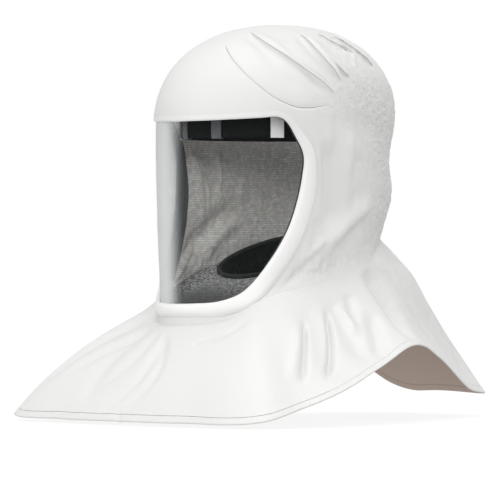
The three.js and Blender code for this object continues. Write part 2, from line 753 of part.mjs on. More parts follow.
function collarGeometry() {
  const layer = (inside) =>
    gridOf(BANDS.collar + 1, COLLAR_STEPS, (row, column) => {
      const angle = (360 * column) / COLLAR_STEPS;
      const share = row / BANDS.collar;
      const outer = collarEdge(angle);
      const hole = NECK_HOLE + SEAM_GAP;
      const inner = new THREE.Vector3(Math.sin(angle * RAD), -Math.cos(angle * RAD), 0).multiplyScalar(hole);
      inner.z = COLLAR_HEIGHT + COLLAR_SLOPE * inner.y;
      const point = outer.lerp(inner, share);
      const rise = COLLAR_RISE * Math.sin(Math.PI * share);
      return point.addScaledVector(collarNormal, rise - inside);
    });
  return wallGeometry(layer(0), layer(CLOTH), true);
}

// Knitted cuff: a tapered tube below the neck hole with a rolled lip above it
function cuffGeometry() {
  const { depth, taper, thickness, lip, roll } = CUFF;
  const rim = NECK_HOLE;
  const profile = [
    new THREE.Vector2(rim - taper - thickness, -depth),
    new THREE.Vector2(rim - taper, -depth),
    new THREE.Vector2(rim, -roll),
    new THREE.Vector2(rim, lip - roll),
    new THREE.Vector2(rim - thickness / 2, lip),
    new THREE.Vector2(rim - thickness - roll / 2, lip),
    new THREE.Vector2(rim - thickness - roll / 2, lip - roll),
    new THREE.Vector2(rim - thickness, -roll),
    new THREE.Vector2(rim - taper - thickness, -depth),
  ];
  const geometry = new THREE.LatheGeometry(profile, CUFF_STEPS);
  return solidOf(geometry.rotateX(Math.PI / 2));
}

// Surface finishes
const whiteCloth = new THREE.MeshStandardMaterial({ color: 0xf0f0f0, roughness: 0.75, metalness: 0 });
const clearFilm = new THREE.MeshStandardMaterial({
  color: 0xe8eeee,
  roughness: 0.05,
  metalness: 0,
  transparent: true,
  opacity: 0.25,
});
const darkTape = new THREE.MeshStandardMaterial({ color: 0x4a4b4b, roughness: 0.6, metalness: 0 });
const blackFoam = new THREE.MeshStandardMaterial({ color: 0x1a1e1e, roughness: 0.85, metalness: 0 });
const whiteWebbing = new THREE.MeshStandardMaterial({ color: 0xdadbdc, roughness: 0.7, metalness: 0 });
const greyCloth = new THREE.MeshStandardMaterial({ color: 0x878683, roughness: 0.85, metalness: 0 });
const darkKnit = new THREE.MeshStandardMaterial({ color: 0x2c2f2f, roughness: 0.9, metalness: 0 });

const hood = new THREE.Group();

function addPiece(name, geometry, material) {
  const mesh = new THREE.Mesh(geometry, material);
  mesh.name = name;
  hood.add(mesh);
  return mesh;
}

addPiece("front_panel", frontGeometry(), whiteCloth);
addPiece("crown_panel", crownGeometry(), whiteCloth);
addPiece("back_panel", backGeometry(), whiteCloth);
addPiece("visor_border", borderGeometry(), whiteCloth);
addPiece("visor_lens", lensGeometry(), clearFilm);
addPiece("lens_seal_tape", tapeGeometry(), darkTape);
addPiece("bib", bibGeometry(), whiteCloth);
addPiece("bib_hem", hemGeometry(), whiteCloth);
addPiece("inner_collar", collarGeometry(), greyCloth);

const headband = addPiece("headband", bandGeometry(), blackFoam);
headband.position.y = BAND.middle;

const cuff = addPiece("neck_cuff", cuffGeometry(), darkKnit);
cuff.position.z = COLLAR_HEIGHT;
cuff.rotation.x = Math.atan(COLLAR_SLOPE);

for (const [name, side] of [["headband_tab_left", 1], ["headband_tab_right", -1]]) {
  const tab = addPiece(name, tabGeometry(), whiteWebbing);
  const across = tabOut.clone().cross(new THREE.Vector3(0, 0, 1));
  const out = new THREE.Vector3(side * tabOut.x, tabOut.y, 0);
  const width = new THREE.Vector3(across.x, side * across.y, 0);
  tab.setRotationFromMatrix(new THREE.Matrix4().makeBasis(out, new THREE.Vector3(0, 0, 1), width));
  tab.position.set(side * tabFoot.x, tabFoot.y, 0);
}

export default hood;
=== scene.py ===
"""Respirator hood, dressed for a studio picture: cloth panels, visor film, bib, headband and neck seal.

Sizes inside the classes are millimetres and degrees, as on a sewing pattern, and meshes are made in metres.
The face looks along -Y, +X is the left side as worn and +Z is up. The origin is the middle of the headband.
Angles run round the head from the face (0) to the nape (180) on either side.
"""

import logging
import math
from dataclasses import dataclass
from enum import Enum
from functools import partial
from typing import Any, Callable, Sequence

import bmesh
import bpy
import numpy as np
from bpy.types import Material, Node, NodeSocket, NodeTree, Object
from mathutils import Matrix, Vector, noise


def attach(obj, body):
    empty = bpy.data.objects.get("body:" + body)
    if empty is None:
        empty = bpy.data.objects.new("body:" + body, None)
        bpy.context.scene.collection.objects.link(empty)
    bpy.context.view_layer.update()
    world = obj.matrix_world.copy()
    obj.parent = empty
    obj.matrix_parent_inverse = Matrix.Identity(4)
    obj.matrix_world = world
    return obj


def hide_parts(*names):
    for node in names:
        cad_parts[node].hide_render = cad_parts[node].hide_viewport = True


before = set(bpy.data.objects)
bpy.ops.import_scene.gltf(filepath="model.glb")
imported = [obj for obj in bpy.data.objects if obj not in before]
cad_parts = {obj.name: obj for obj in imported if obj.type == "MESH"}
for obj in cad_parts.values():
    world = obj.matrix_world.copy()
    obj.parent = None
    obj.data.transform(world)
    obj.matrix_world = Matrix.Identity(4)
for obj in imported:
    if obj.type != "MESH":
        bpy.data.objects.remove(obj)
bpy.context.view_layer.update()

LOG = logging.getLogger("hood")
MM = 0.001
SHORTEST = 1e-12
SIDES = ((1.0, "left"), (-1.0, "right"))
UP = np.array([0.0, 0.0, 1.0])
Grid = np.ndarray
# A span is the start and the end of an ease, and a spot is the middle and the width of a bell curve.
Span = tuple[float, float]
Spot = tuple[float, float]


# Smooth lines and noise

def smoothstep(value: Grid, low: float, high: float) -> Grid:
    """Eases from 0 where the value is low to 1 where it is high."""
    share = np.clip((value - low) / (high - low), 0.0, 1.0)
    return share * share * (3.0 - 2.0 * share)


def between(value: Grid, rise: Span, fall: Span) -> Grid:
    """Eases from 0 to 1 over one span and back to 0 over another."""
    return smoothstep(value, *rise) * (1.0 - smoothstep(value, *fall))


def hump(value: Grid, middle: float, width: float) -> Grid:
    """Bell curve of height 1 round a middle."""
    return np.exp(-(((value - middle) / width) ** 2))


def unit(vectors: Grid) -> Grid:
    """Vectors scaled to length 1."""
    return vectors / np.maximum(np.linalg.norm(vectors, axis=-1, keepdims=True), SHORTEST)


def distance_along(points: Grid) -> Grid:
    """Distances from the first row of points, measured from row to row."""
    lengths = np.linalg.norm(np.diff(points, axis=0), axis=-1)
    return np.concatenate([np.zeros_like(lengths[:1]), np.cumsum(lengths, axis=0)])


def spaced(places: Grid, density: Grid, count: int) -> Grid:
    """Places round a closed line, spread by the density of each step between the given ones."""
    runs = np.concatenate([[0.0], np.cumsum(density)])
    return np.interp(np.linspace(0.0, runs[-1], count, endpoint=False), runs, places)


def bend(start: Grid, control: Grid, end: Grid, t: Grid) -> Grid:
    """Points at shares t of a curve from start to end that a control point pulls aside."""
    return start * (1.0 - t) ** 2 + 2.0 * control * t * (1.0 - t) + end * t * t


def glide(start: Grid, end: Grid, leave: Grid, arrive: Grid, t: Grid) -> Grid:
    """Points at shares t of a curve that leaves its start and reaches its end at given slopes."""
    rising = t * t * (3.0 - 2.0 * t)
    return start * (1.0 - rising) + end * rising + t * (1.0 - t) ** 2 * leave + t * t * (t - 1.0) * arrive


@dataclass(frozen=True)
class Crumple:
    """Smooth noise in the cloth.

    Attributes:
        wave: Wavelength along each axis.
        shift: Moves the noise, so that two crumples differ.
    """

    wave: tuple[float, float, float]
    shift: float = 0.0

    def at(self, points: Grid) -> Grid:
        """Noise from about -1 to 1 at points with x, y and z last."""
        scaled = points.reshape(-1, 3) / np.asarray(self.wave, float) + self.shift
        return np.array([noise.noise(place) for place in scaled.tolist()]).reshape(points.shape[:-1])

    def along(self, places: Grid) -> Grid:
        """Noise from about -1 to 1 at places along the first axis."""
        return self.at(np.stack([places, 0.0 * places, 0.0 * places], axis=-1))


@dataclass(frozen=True)
class ColumnCurve:
    """Smooth line through one column of a table.

    Attributes:
        keys: Places of the rows, rising.
        values: Values of the rows.
        level_ends: True where the line is mirrored at its ends and so is level there.
    """

    keys: tuple[float, ...]
    values: tuple[float, ...]
    level_ends: bool = True

    def __call__(self, key: Grid) -> Grid:
        """Reads the line.

        Args:
            key: Places along the table.

        Returns:
            Values at those places.
        """
        keys, values = np.array(self.keys), np.array(self.values)
        steps = np.diff(keys)
        secants = np.diff(values) / steps
        ends = np.zeros(2) if self.level_ends else secants[[0, -1]]
        slopes = np.concatenate([ends[:1], (secants[1:] + secants[:-1]) / 2, ends[1:]])
        place = np.clip(key, keys[0], keys[-1])
        row = np.clip(np.searchsorted(keys, place, side="right") - 1, 0, len(steps) - 1)
        t = (place - keys[row]) / steps[row]
        leave, arrive = steps[row] * slopes[row], steps[row] * slopes[row + 1]
        return glide(values[row], values[row + 1], leave, arrive, t)


def curve_of(rows: Sequence[Any], key: str, value: str, level_ends: bool = True) -> ColumnCurve:
    """Smooth line through one column of a table, read by another column that rises."""
    keys, values = (tuple(float(getattr(row, name)) for row in rows) for name in (key, value))
    return ColumnCurve(keys, values, level_ends)


# Pattern tables

@dataclass(frozen=True)
class Section:
    """Level section of the head: its half width at the ears and its reach to the face and to the back."""

    height: float
    half_width: float
    face: float
    back: float


@dataclass(frozen=True)
class LineRow:
    """Place on a line round the head."""

    angle: float
    height: float


@dataclass(frozen=True)
class SideSeamRow:
    """Place on the seam between side and back, as a share of its way down."""

    share: float
    angle: float


@dataclass(frozen=True)
class WindowRow:
    """Corner of the window outline laid flat."""

    across: float
    height: float


@dataclass(frozen=True)
class BibRow:
    """Place on the edge of the bib, and how far the cloth bulges out above it."""

    angle: float
    reach: float
    height: float
    bulge: float


@dataclass(frozen=True)
class TurnRow:
    """How much higher the rear flap's edge is turned up on the right side as worn."""

    angle: float
    lift: float


class FoldKind(Enum):
    """Cross-section of a fold."""

    DENT = "dent"
    TUCK = "tuck"


@dataclass(frozen=True)
class Fold:
    """Fold that runs from a start past a middle to an end, each as angle and height or share.

    Attributes:
        start: Where the fold begins.
        middle: Where it passes half way.
        end: Where it ends.
        depth: How deep the dent is; a ridge is negative.
        width: Distance over which it fades sideways.
        kind: Cross-section.
        side: 1 on the left as worn, -1 on the right, 0 on both.
    """

    start: tuple[float, float]
    middle: tuple[float, float]
    end: tuple[float, float]
    depth: float
    width: float
    kind: FoldKind = FoldKind.DENT
    side: int = 0

    def path(self, t: Grid) -> Grid:
        """Places at shares t of the way along the fold."""
        start, middle, end = (np.array(row, float) for row in (self.start, self.middle, self.end))
        return bend(start, 2.0 * middle - (start + end) / 2.0, end, t[:, None])


HEAD_SECTIONS = (
    Section(-230, 95, 148, 116),
    Section(-166, 98, 149, 122),
    Section(-120, 103, 149, 132),
    Section(-76, 106, 149, 150),
    Section(-40, 108, 149, 143),
    Section(0, 108, 149, 154),
)

NECK_LINE = (
    LineRow(0, -219),
    LineRow(24, -217),
    LineRow(36, -211),
    LineRow(45, -198),
    LineRow(55, -187),
    LineRow(72, -177),
    LineRow(90, -168),
    LineRow(118, -145),
    LineRow(145, -127),
    LineRow(180, -118),
)

CROWN_SEAM = (
    LineRow(0, 89),
    LineRow(10, 85),
    LineRow(20, 75),
    LineRow(32, 58),
    LineRow(45, 37),
    LineRow(55, 22),
    LineRow(66, 13),
    LineRow(80, 16),
    LineRow(94, 24),
    LineRow(130, 27),
    LineRow(180, 28),
)

SIDE_SEAM = (
    SideSeamRow(0, 94),
    SideSeamRow(0.32, 111),
    SideSeamRow(0.65, 109),
    SideSeamRow(1, 118),
)

WINDOW = (
    WindowRow(0, -2),
    WindowRow(48, -1),
    WindowRow(96, 1.5),
    WindowRow(118, 2.5),
    WindowRow(127, -2),
    WindowRow(138, -18),
    WindowRow(148, -38),
    WindowRow(147, -62),
    WindowRow(142, -88),
    WindowRow(132, -118),
    WindowRow(114, -150),
    WindowRow(92, -177),
    WindowRow(78, -187),
    WindowRow(55, -194),
    WindowRow(26, -196),
    WindowRow(0, -196.5),
)

BIB_EDGE = (
    BibRow(0, 238, -319, 6),
    BibRow(22, 251, -319, 10),
    BibRow(42.5, 282, -316, 14),
    BibRow(51.5, 257, -303, 6),
    BibRow(60, 241, -290, 0),
    BibRow(77, 208, -263, -8),
    BibRow(98, 187, -240, -8),
    BibRow(125, 184, -256, -2),
    BibRow(150, 225, -292, 0),
    BibRow(165, 273, -299, 2),
    BibRow(180, 268, -297, 2),
)

FLAP_TURN = (
    TurnRow(98, 0),
    TurnRow(125, 8),
    TurnRow(142, 36),
    TurnRow(152, 42),
    TurnRow(159, 28),
    TurnRow(165, 9),
    TurnRow(174, 0),
)


# Forms

@dataclass
class HeadForm:
    """Smooth shape of the hood round the head, without folds."""

    sections: tuple[Section, ...] = HEAD_SECTIONS
    crown_height: float = 106.0
    squareness: float = 2.25
    lean: float = 11.0
    flat_top: float = 0.9995
    probe_angle: float = 0.05
    probe_height: float = 0.02

    def __post_init__(self) -> None:
        """Prepares the lines of the sections."""
        self.half_width = curve_of(self.sections, "height", "half_width", False)
        self.face = curve_of(self.sections, "height", "face", False)
        self.back = curve_of(self.sections, "height", "back", False)

    def point(self, angle: Grid, height: Grid) -> Grid:
        """Places on the form.

        Args:
            angle: Angles from the face, negative on the right.
            height: Heights above the headband's middle.

        Returns:
            Points with x, y and z last.
        """
        angle, height = np.broadcast_arrays(np.asarray(angle, float), np.asarray(height, float))
        lift = np.clip(height / self.crown_height, 0.0, 1.0)
        shrink = (1.0 - lift**self.squareness) ** (1.0 / self.squareness)
        forward = np.cos(np.radians(angle))
        reach = np.where(forward > 0, self.face(height), self.back(height))
        across = self.half_width(height) * shrink * np.sin(np.radians(angle))
        return np.stack([across, self.lean * lift - reach * shrink * forward, height], axis=-1)

    def normal(self, angle: Grid, height: Grid) -> Grid:
        """Directions out of the form.

        Args:
            angle: Angles from the face, negative on the right.
            height: Heights above the headband's middle.

        Returns:
            Directions of length 1, at the places that point gives.
        """
        angle, height = np.broadcast_arrays(np.asarray(angle, float), np.asarray(height, float))
        along = self.point(angle + self.probe_angle, height) - self.point(angle - self.probe_angle, height)
        up = self.point(angle, height + self.probe_height) - self.point(angle, height - self.probe_height)
        out = unit(np.cross(along, up))
        top = height > self.flat_top * self.crown_height
        out[top] = UP
        return out


class FlatLayout:
    """Unrolls the head at headband height: distance across against angle."""

    def __init__(self, head: HeadForm, steps: int = 720) -> None:
        """Measures the level section at headband height."""
        self.angles = np.linspace(0.0, 180.0, steps + 1)
        self.runs = distance_along(head.point(self.angles, 0.0))

    def angle(self, across: Grid) -> Grid:
        """Angle at a distance across, on the same side."""
        return np.sign(across) * np.interp(np.abs(across), self.runs, self.angles)

    def across(self, angle: Grid) -> Grid:
        """Distance across at an angle, on the same side."""
        return np.sign(angle) * np.interp(np.abs(angle), self.angles, self.runs)


class WindowLine:
    """Window outline on the flat layout, read by its share of the way from brow to chin."""

    def __init__(self, rows: Sequence[WindowRow], samples: int = 60, upright: float = 0.03) -> None:
        """Lays a smooth line through the corners of the outline.

        Args:
            rows: Corners from the middle of the brow to the middle of the chin.
            samples: Points on the line from one corner to the next.
            upright: Share of the line, at brow and chin, over which the way outward turns upright.
        """
        corners = np.array([(row.across, row.height) for row in rows], float)
        corners = np.vstack([2 * corners[0] - corners[1], corners, 2 * corners[-1] - corners[-2]])
        gaps = np.sqrt(np.linalg.norm(np.diff(corners, axis=0), axis=1))
        t = np.linspace(0.0, 1.0, samples, endpoint=False)[:, None]
        pieces = []
        for at in range(1, len(corners) - 2):
            before, start, end, after = corners[at - 1 : at + 3]
            lead, span, trail = gaps[at - 1 : at + 2]
            leave = (start - before) / lead - (end - before) / (lead + span) + (end - start) / span
            arrive = (end - start) / span - (after - start) / (span + trail) + (after - end) / trail
            pieces.append(glide(start, end, span * leave, span * arrive, t))
        self.points = np.vstack([*pieces, corners[-2:-1]])
        runs = distance_along(self.points)
        self.length = float(runs[-1])
        self.shares = runs / self.length
        self.tangents = unit(np.gradient(self.points, axis=0))
        self.upright = upright

    def beside(self, run: Grid, distance: Grid) -> tuple[Grid, Grid]:
        """Places at a distance outside the outline.

        Args:
            run: Shares of the way from brow to chin, negative on the right.
            distance: Distances outside the outline.

        Returns:
            Distances across and heights on the flat layout.
        """
        half = np.abs(run)
        at = [np.interp(half, self.shares, self.points[:, axis]) for axis in (0, 1)]
        along = [np.interp(half, self.shares, self.tangents[:, axis]) for axis in (0, 1)]
        ease = smoothstep(np.minimum(half, 1.0 - half), 0.0, self.upright)
        sideways, upward = -along[1] * ease, along[0]
        length = np.hypot(sideways, upward)
        side = np.where(run < 0, -1.0, 1.0)
        across = side * (at[0] + distance * sideways / length)
        return across, at[1] + distance * upward / length


@dataclass
class BibForm:
    """Smooth shape of the bib from the neck line (share 0) to its edge (share 1), without folds."""

    head: HeadForm
    neck: ColumnCurve
    probe_angle: float = 0.05
    probe_share: float = 0.001

    def __post_init__(self) -> None:
        """Prepares the lines of the edge."""
        self.reach = curve_of(BIB_EDGE, "angle", "reach")
        self.height = curve_of(BIB_EDGE, "angle", "height")
        self.bulge = curve_of(BIB_EDGE, "angle", "bulge")
        self.turn = curve_of(FLAP_TURN, "angle", "lift")

    def point(self, angle: Grid, share: Grid) -> Grid:
        """Places on the form.

        Args:
            angle: Angles from the face, negative on the right.
            share: Shares of the way from the neck line to the edge.

        Returns:
            Points with x, y and z last.
        """
        angle, share = np.broadcast_arrays(np.asarray(angle, float), np.asarray(share, float))
        place = np.abs(angle)
        sine, cosine = np.sin(np.radians(angle)), np.cos(np.radians(angle))
        neck = self.head.point(angle, self.neck(place))
        lift = np.where(angle < 0, self.turn(place), 0.0)
        reach = self.reach(place)
        edge = np.stack([sine * reach, -cosine * reach, self.height(place) + lift], axis=-1)
        side = np.stack([-cosine, -sine, np.zeros_like(sine)], axis=-1)
        swell = unit(np.cross(side, edge - neck)) * (2.0 * self.bulge(place))[..., None]
        return bend(neck, (neck + edge) / 2.0 + swell, edge, share[..., None])

    def normal(self, angle: Grid, share: Grid) -> Grid:
        """Directions out of the form.

        Args:
            angle: Angles from the face, negative on the right.
            share: Shares of the way from the neck line to the edge.

        Returns:
            Directions of length 1, at the places that point gives.
        """
        inside = np.clip(share, self.probe_share, 1.0 - self.probe_share)
        along = self.point(angle + self.probe_angle, inside) - self.point(angle - self.probe_angle, inside)
        down = self.point(angle, inside + self.probe_share) - self.point(angle, inside - self.probe_share)
        return unit(np.cross(down, along))


class FoldSet:
    """Folds laid on a form, which move its points along their normals."""

    STEPS = 24
    FADE = 0.25
    TUCK_UNDER = 0.45
    TUCK_SOFT = 0.25
    VALLEY = 0.4
    VALLEY_WIDTH = 0.5
    REACH = 3.0

    def __init__(self, folds: Sequence[Fold], form: Callable[[Grid, Grid], Grid]) -> None:
        """Traces each fold as a line of points on the form."""
        t = np.linspace(0.0, 1.0, self.STEPS + 1)
        self.traced = [(fold, form(*fold.path(t).T)) for fold in folds]

    def profile(self, fold: Fold, distance: Grid) -> Grid:
        """Cross-section of a fold.

        Args:
            fold: The fold.
            distance: Signed distances from its line.

        Returns:
            Heights at those distances, outward positive.
        """
        spread = distance / fold.width
        bell = hump(spread, 0.0, 1.0)
        if fold.kind is FoldKind.DENT:
            return -fold.depth * bell
        rise = self.TUCK_UNDER * bell * smoothstep(spread, -self.TUCK_SOFT, self.TUCK_SOFT)
        return fold.depth * (rise - self.VALLEY * hump(spread, -self.VALLEY_WIDTH, self.VALLEY_WIDTH))

    def shift(self, points: Grid, normals: Grid) -> Grid:
        """How far the folds move points of the form along their normals.

        Args:
            points: Places on the form.
            normals: Directions out of it.

        Returns:
            Distance for each point, outward positive.
        """
        flat, out = points.reshape(-1, 3), normals.reshape(-1, 3)
        total = np.zeros(len(flat))
        for fold, line in self.traced:
            side = np.full(len(flat), float(fold.side)) if fold.side else np.where(flat[:, 0] < 0, -1.0, 1.0)
            mirror = np.stack([side, np.ones_like(side), np.ones_like(side)], axis=-1)
            place = flat * mirror
            reach = self.REACH * fold.width
            near = np.all((place > line.min(0) - reach) & (place < line.max(0) + reach), axis=1)
            total[near] += self._one(fold, line, place[near], (out * mirror)[near])
        return total.reshape(points.shape[:-1])

    def _one(self, fold: Fold, line: Grid, place: Grid, facing: Grid) -> Grid:
        """Shift of one fold at points that lie near it.

        Args:
            fold: The fold.
            line: Points along it.
            place: Points of the form.
            facing: Directions out of the form at those points.

        Returns:
            Distance for each point, outward positive.
        """
        best = np.full(len(place), np.inf)
        signed, run = np.zeros(len(place)), np.zeros(len(place))
        for step in range(self.STEPS):
            delta = line[step + 1] - line[step]
            share = np.clip((place - line[step]) @ delta / (delta @ delta), 0.0, 1.0)
            away = place - line[step] - share[:, None] * delta
            distance = np.linalg.norm(away, axis=1)
            closer = distance < best
            best[closer] = distance[closer]
            upper = np.einsum("ij,ij->i", away, np.cross(facing, delta)) >= 0
            signed[closer] = np.where(upper, distance, -distance)[closer]
            run[closer] = ((step + share) / self.STEPS)[closer]
        return smoothstep(np.minimum(run, 1.0 - run), 0.0, self.FADE) * self.profile(fold, signed)


# Meshes

# Angle in degrees above which an edge shows, and distance in metres within which points are joined.
SHARP_EDGE = 60.0
JOIN_WITHIN = 1e-6
# Square of the least share of thickness that a strip keeps at its edges.
THINNEST = 0.02
# Points along a stitch, and how high its upper face stands from one side to the other.
STITCH_POINTS = 5
STITCH_ARCH = (0.3, 1.0, 0.3)


@dataclass(frozen=True)
class Wall:
    """Closed wall: its points in metres, the corners of its faces, and the material slot of each face."""

    points: Grid
    quads: Grid
    slots: Grid


def wall_between(outer: Grid, inner: Grid, looped: bool, pole: bool = False) -> Wall:
    """Makes a closed wall between two grids of points.

    Args:
        outer: Points of the outer face in rows and columns, in millimetres.
        inner: Points of the inner face, in the same order.
        looped: True where the columns run all the way round.
        pole: True where the last row is a single point.

    Returns:
        The wall, with material slot 0 on the outer face and the rims and slot 1 on the inner face.
    """
    rows, columns = outer.shape[:2]
    points = np.vstack([outer.reshape(-1, 3), inner.reshape(-1, 3)]) * MM
    here = np.arange(rows * columns).reshape(rows, columns)
    there = np.roll(here, -1, axis=1)
    if not looped:
        here, there = here[:, :-1], there[:, :-1]
    back = rows * columns
    face = np.stack([here[:-1], there[:-1], there[1:], here[1:]], axis=-1).reshape(-1, 4)
    lining = face[:, ::-1] + back
    rims = [np.stack([here[0] + back, there[0] + back, there[0], here[0]], axis=-1)]
    if not pole:
        rims.append(np.stack([here[-1], there[-1], there[-1] + back, here[-1] + back], axis=-1))
    if not looped:
        first, last = np.arange(rows) * columns, np.arange(rows) * columns + columns - 1
        rims.append(np.stack([first[:-1], first[1:], first[1:] + back, first[:-1] + back], axis=-1))
        rims.append(np.stack([last[1:], last[:-1], last[:-1] + back, last[1:] + back], axis=-1))
    quads = np.vstack([face, lining, *rims])
    slots = np.zeros(len(quads), np.int32)
    slots[len(face) : 2 * len(face)] = 1
    corners = points[quads]
    area = np.cross(corners[:, 2] - corners[:, 0], corners[:, 3] - corners[:, 1])
    if np.einsum("ij,ij->", area, corners.mean(axis=1) - points.mean(axis=0)) < 0:
        quads = quads[:, ::-1]
    return Wall(points, quads, slots)


def mesh_object(name: str, walls: Sequence[Wall], gather: Grid | None = None) -> Object:
    """Makes a mesh object from closed walls, with double points joined.

    Args:
        name: Name of the new object.
        walls: The walls that it is made of.
        gather: Mask of the painted second tone at the points of each face, where it is: painted shade on
            gathered cloth and the rear flap, painted highlight on piping and collar.

    Returns:
        The new object, linked to the scene.
    """
    starts = np.cumsum([0] + [len(wall.points) for wall in walls])
    points = np.vstack([wall.points for wall in walls])
    quads = np.vstack([wall.quads + start for wall, start in zip(walls, starts)])
    mesh = bpy.data.meshes.new(name)
    mesh.from_pydata(points.tolist(), [], quads.tolist())
    mesh.polygons.foreach_set("material_index", np.concatenate([wall.slots for wall in walls]))
    # The gather mask drives only painted shade and painted highlight in the finishes.
    if gather is not None:
        shares = mesh.attributes.new("gather", "FLOAT", "POINT")
        shares.data.foreach_set("value", np.tile(gather.reshape(-1), 2).astype(np.float32))
    build = bmesh.new()
    build.from_mesh(mesh)
    bmesh.ops.remove_doubles(build, verts=build.verts, dist=JOIN_WITHIN)
    build.to_mesh(mesh)
    build.free()
    mesh.polygons.foreach_set("use_smooth", np.ones(len(mesh.polygons), bool))
    mesh.set_sharp_from_angle(angle=math.radians(SHARP_EDGE))
    made = bpy.data.objects.new(name, mesh)
    bpy.context.scene.collection.objects.link(made)
    return made


def pillow(rows: int, power: float = 6.0) -> tuple[Grid, Grid]:
    """Places from -1 to 1 across a strip and its shares of thickness; a higher power is squarer."""
    places = np.sin(np.linspace(-math.pi / 2, math.pi / 2, rows))
    return places, np.sqrt(np.maximum(1.0 - np.abs(places) ** power, THINNEST))


@dataclass(frozen=True)
class Stitch:
    """Machine stitch: its length, the space to the next one and half the thickness of its thread."""

    length: float
    gap: float
    thread: float


def stitch_row(name: str, line: Grid, normals: Grid, stitch: Stitch) -> Object:
    """Makes a row of machine stitches along a line on the cloth.

    Args:
        name: Name of the new object.
        line: Points of the line, in millimetres.
        normals: Directions out of the cloth at those points.
        stitch: The stitch that repeats.

    Returns:
        The new object.
    """
    runs = distance_along(line)
    share = np.linspace(0.0, 1.0, STITCH_POINTS)
    starts = np.arange(stitch.gap, runs[-1] - stitch.length, stitch.length + stitch.gap)
    along = starts[:, None] + stitch.length * share
    points, ups = (
        np.stack([np.interp(along, runs, row) for row in grid.T], axis=-1) for grid in (line, normals)
    )
    ways = unit(np.cross(ups, np.gradient(points, axis=1)))
    across = stitch.thread * np.array([-1.0, 0.0, 1.0])[:, None, None]
    arch = stitch.thread * np.outer(STITCH_ARCH, np.sqrt(np.sin(math.pi * share)))[..., None]
    walls = []
    for place, up, way in zip(points, ups, ways):
        strand = place + across * way
        walls.append(wall_between(strand + arch * up, strand - stitch.thread * up, looped=False))
    return mesh_object(name, walls)


# Finishes

# Sockets of a colour mix: its share, its two colours and its result.
MIX_SHARE, MIX_FIRST, MIX_SECOND, MIX_RESULT = 0, 6, 7, 2
# The wave texture turns through this many radians for each unit of its scale.
WAVE_TURN = 20.0
TYPICAL_IOR = 1.5
# Levels of detail in a noise.
SOFT, TEXTURED, RAGGED = 2.0, 3.0, 4.0


def linear(colour: str) -> tuple[float, float, float, float]:
    """Linear colour of an sRGB hex code.

    Args:
        colour: Code such as "#f0f0f0".

    Returns:
        Red, green, blue and an alpha of 1.
    """
    shares = [int(colour[at : at + 2], 16) / 255 for at in (1, 3, 5)]
    red, green, blue = (s / 12.92 if s <= 0.04045 else ((s + 0.055) / 1.055) ** 2.4 for s in shares)
    return red, green, blue, 1.0


def cells(size: float) -> float:
    """Noise scale at which one cell of the pattern has a size in millimetres."""
    return 1.0 / (size * MM)


def bands(pitch: float) -> float:
    """Wave scale at which the bands have a pitch in millimetres."""
    return 2.0 * math.pi / (WAVE_TURN * pitch * MM)


def add_node(tree: NodeTree, kind: str, inputs: dict[Any, Any], **options: Any) -> Node:
    """Adds a shader node.

    Args:
        tree: Node tree of the material.
        kind: Type of the node.
        inputs: Values for its sockets, output sockets to link to them, or nodes whose first output is linked.
        options: Options of the node itself.

    Returns:
        The new node.
    """
    made = tree.nodes.new(kind)
    for key, value in options.items():
        setattr(made, key, value)
    for key, value in inputs.items():
        source = value.outputs[0] if isinstance(value, Node) else value
        if isinstance(source, NodeSocket):
            tree.links.new(source, made.inputs[key])
        else:
            made.inputs[key].default_value = source
    return made


@dataclass(frozen=True)
class Finish:
    """What a piece is made of.

    Attributes:
        name: Material and how it was made.
        colour: Main colour as an sRGB hex code.
        shade: Colour in the hollows of its pattern.
        roughness: Roughness of its surface.
    """

    name: str
    colour: str
    shade: str
    roughness: float

    def material(self) -> Material:
        """Makes the material when it is first asked for.

        Returns:
            The material of this finish.
        """
        made = bpy.data.materials.get(self.name)
        if made is None:
            made = bpy.data.materials.new(self.name)
            made.use_nodes = True
            made.node_tree.nodes.clear()
            surface = self.surface(made.node_tree)
            add_node(made.node_tree, "ShaderNodeOutputMaterial", {"Surface": surface})
        return made

    def surface(self, tree: NodeTree) -> Node:
        """Shader of the finish, added to a node tree."""
        raise NotImplementedError


@dataclass(frozen=True)
class Cloth(Finish):
    """Cloth whose pattern stands over a soft crumple, with a second tone painted on where the mesh's gather
    mask is high.

    Attributes:
        second: Colour of the second tone: painted shade on most finishes, painted highlight on the piping and
            the collar.
        depth: How deep the pattern is.
        crumple: Size of the soft crumple.
        crumple_depth: How deep that is.
        gloss: Strength of the shine.
        sheen: Weight of the sheen at a slant.
    """

    second: str = "#a5a3a1"
    depth: float = 0.05
    crumple: float = 12.0
    crumple_depth: float = 0.22
    gloss: float = 0.5
    sheen: float = 0.08

    def shaded(self, tree: NodeTree, pattern: Node, folds: Node, share: Node) -> Node:
        """Shader of the cloth.

        Args:
            tree: Node tree of the material.
            pattern: Pattern of fibres or threads.
            folds: Soft crumple.
            share: Share of the second tone.

        Returns:
            The shader node.
        """
        node = partial(add_node, tree)
        plain = node(
            "ShaderNodeMix",
            {MIX_SHARE: pattern, MIX_FIRST: linear(self.shade), MIX_SECOND: linear(self.colour)},
            data_type="RGBA",
        )
        tone = node(
            "ShaderNodeMix",
            {MIX_SHARE: share, MIX_FIRST: plain.outputs[MIX_RESULT], MIX_SECOND: linear(self.second)},
            data_type="RGBA",
        )
        soft = node("ShaderNodeBump", {"Height": folds, "Distance": self.crumple_depth * MM})
        fine = node("ShaderNodeBump", {"Height": pattern, "Distance": self.depth * MM, "Normal": soft})
        return node(
            "ShaderNodeBsdfPrincipled",
            {
                "Base Color": tone.outputs[MIX_RESULT],
                "Roughness": self.roughness,
                "IOR": TYPICAL_IOR,
                "Specular IOR Level": self.gloss,
                "Sheen Weight": self.sheen,
                "Normal": fine,
            },
        )


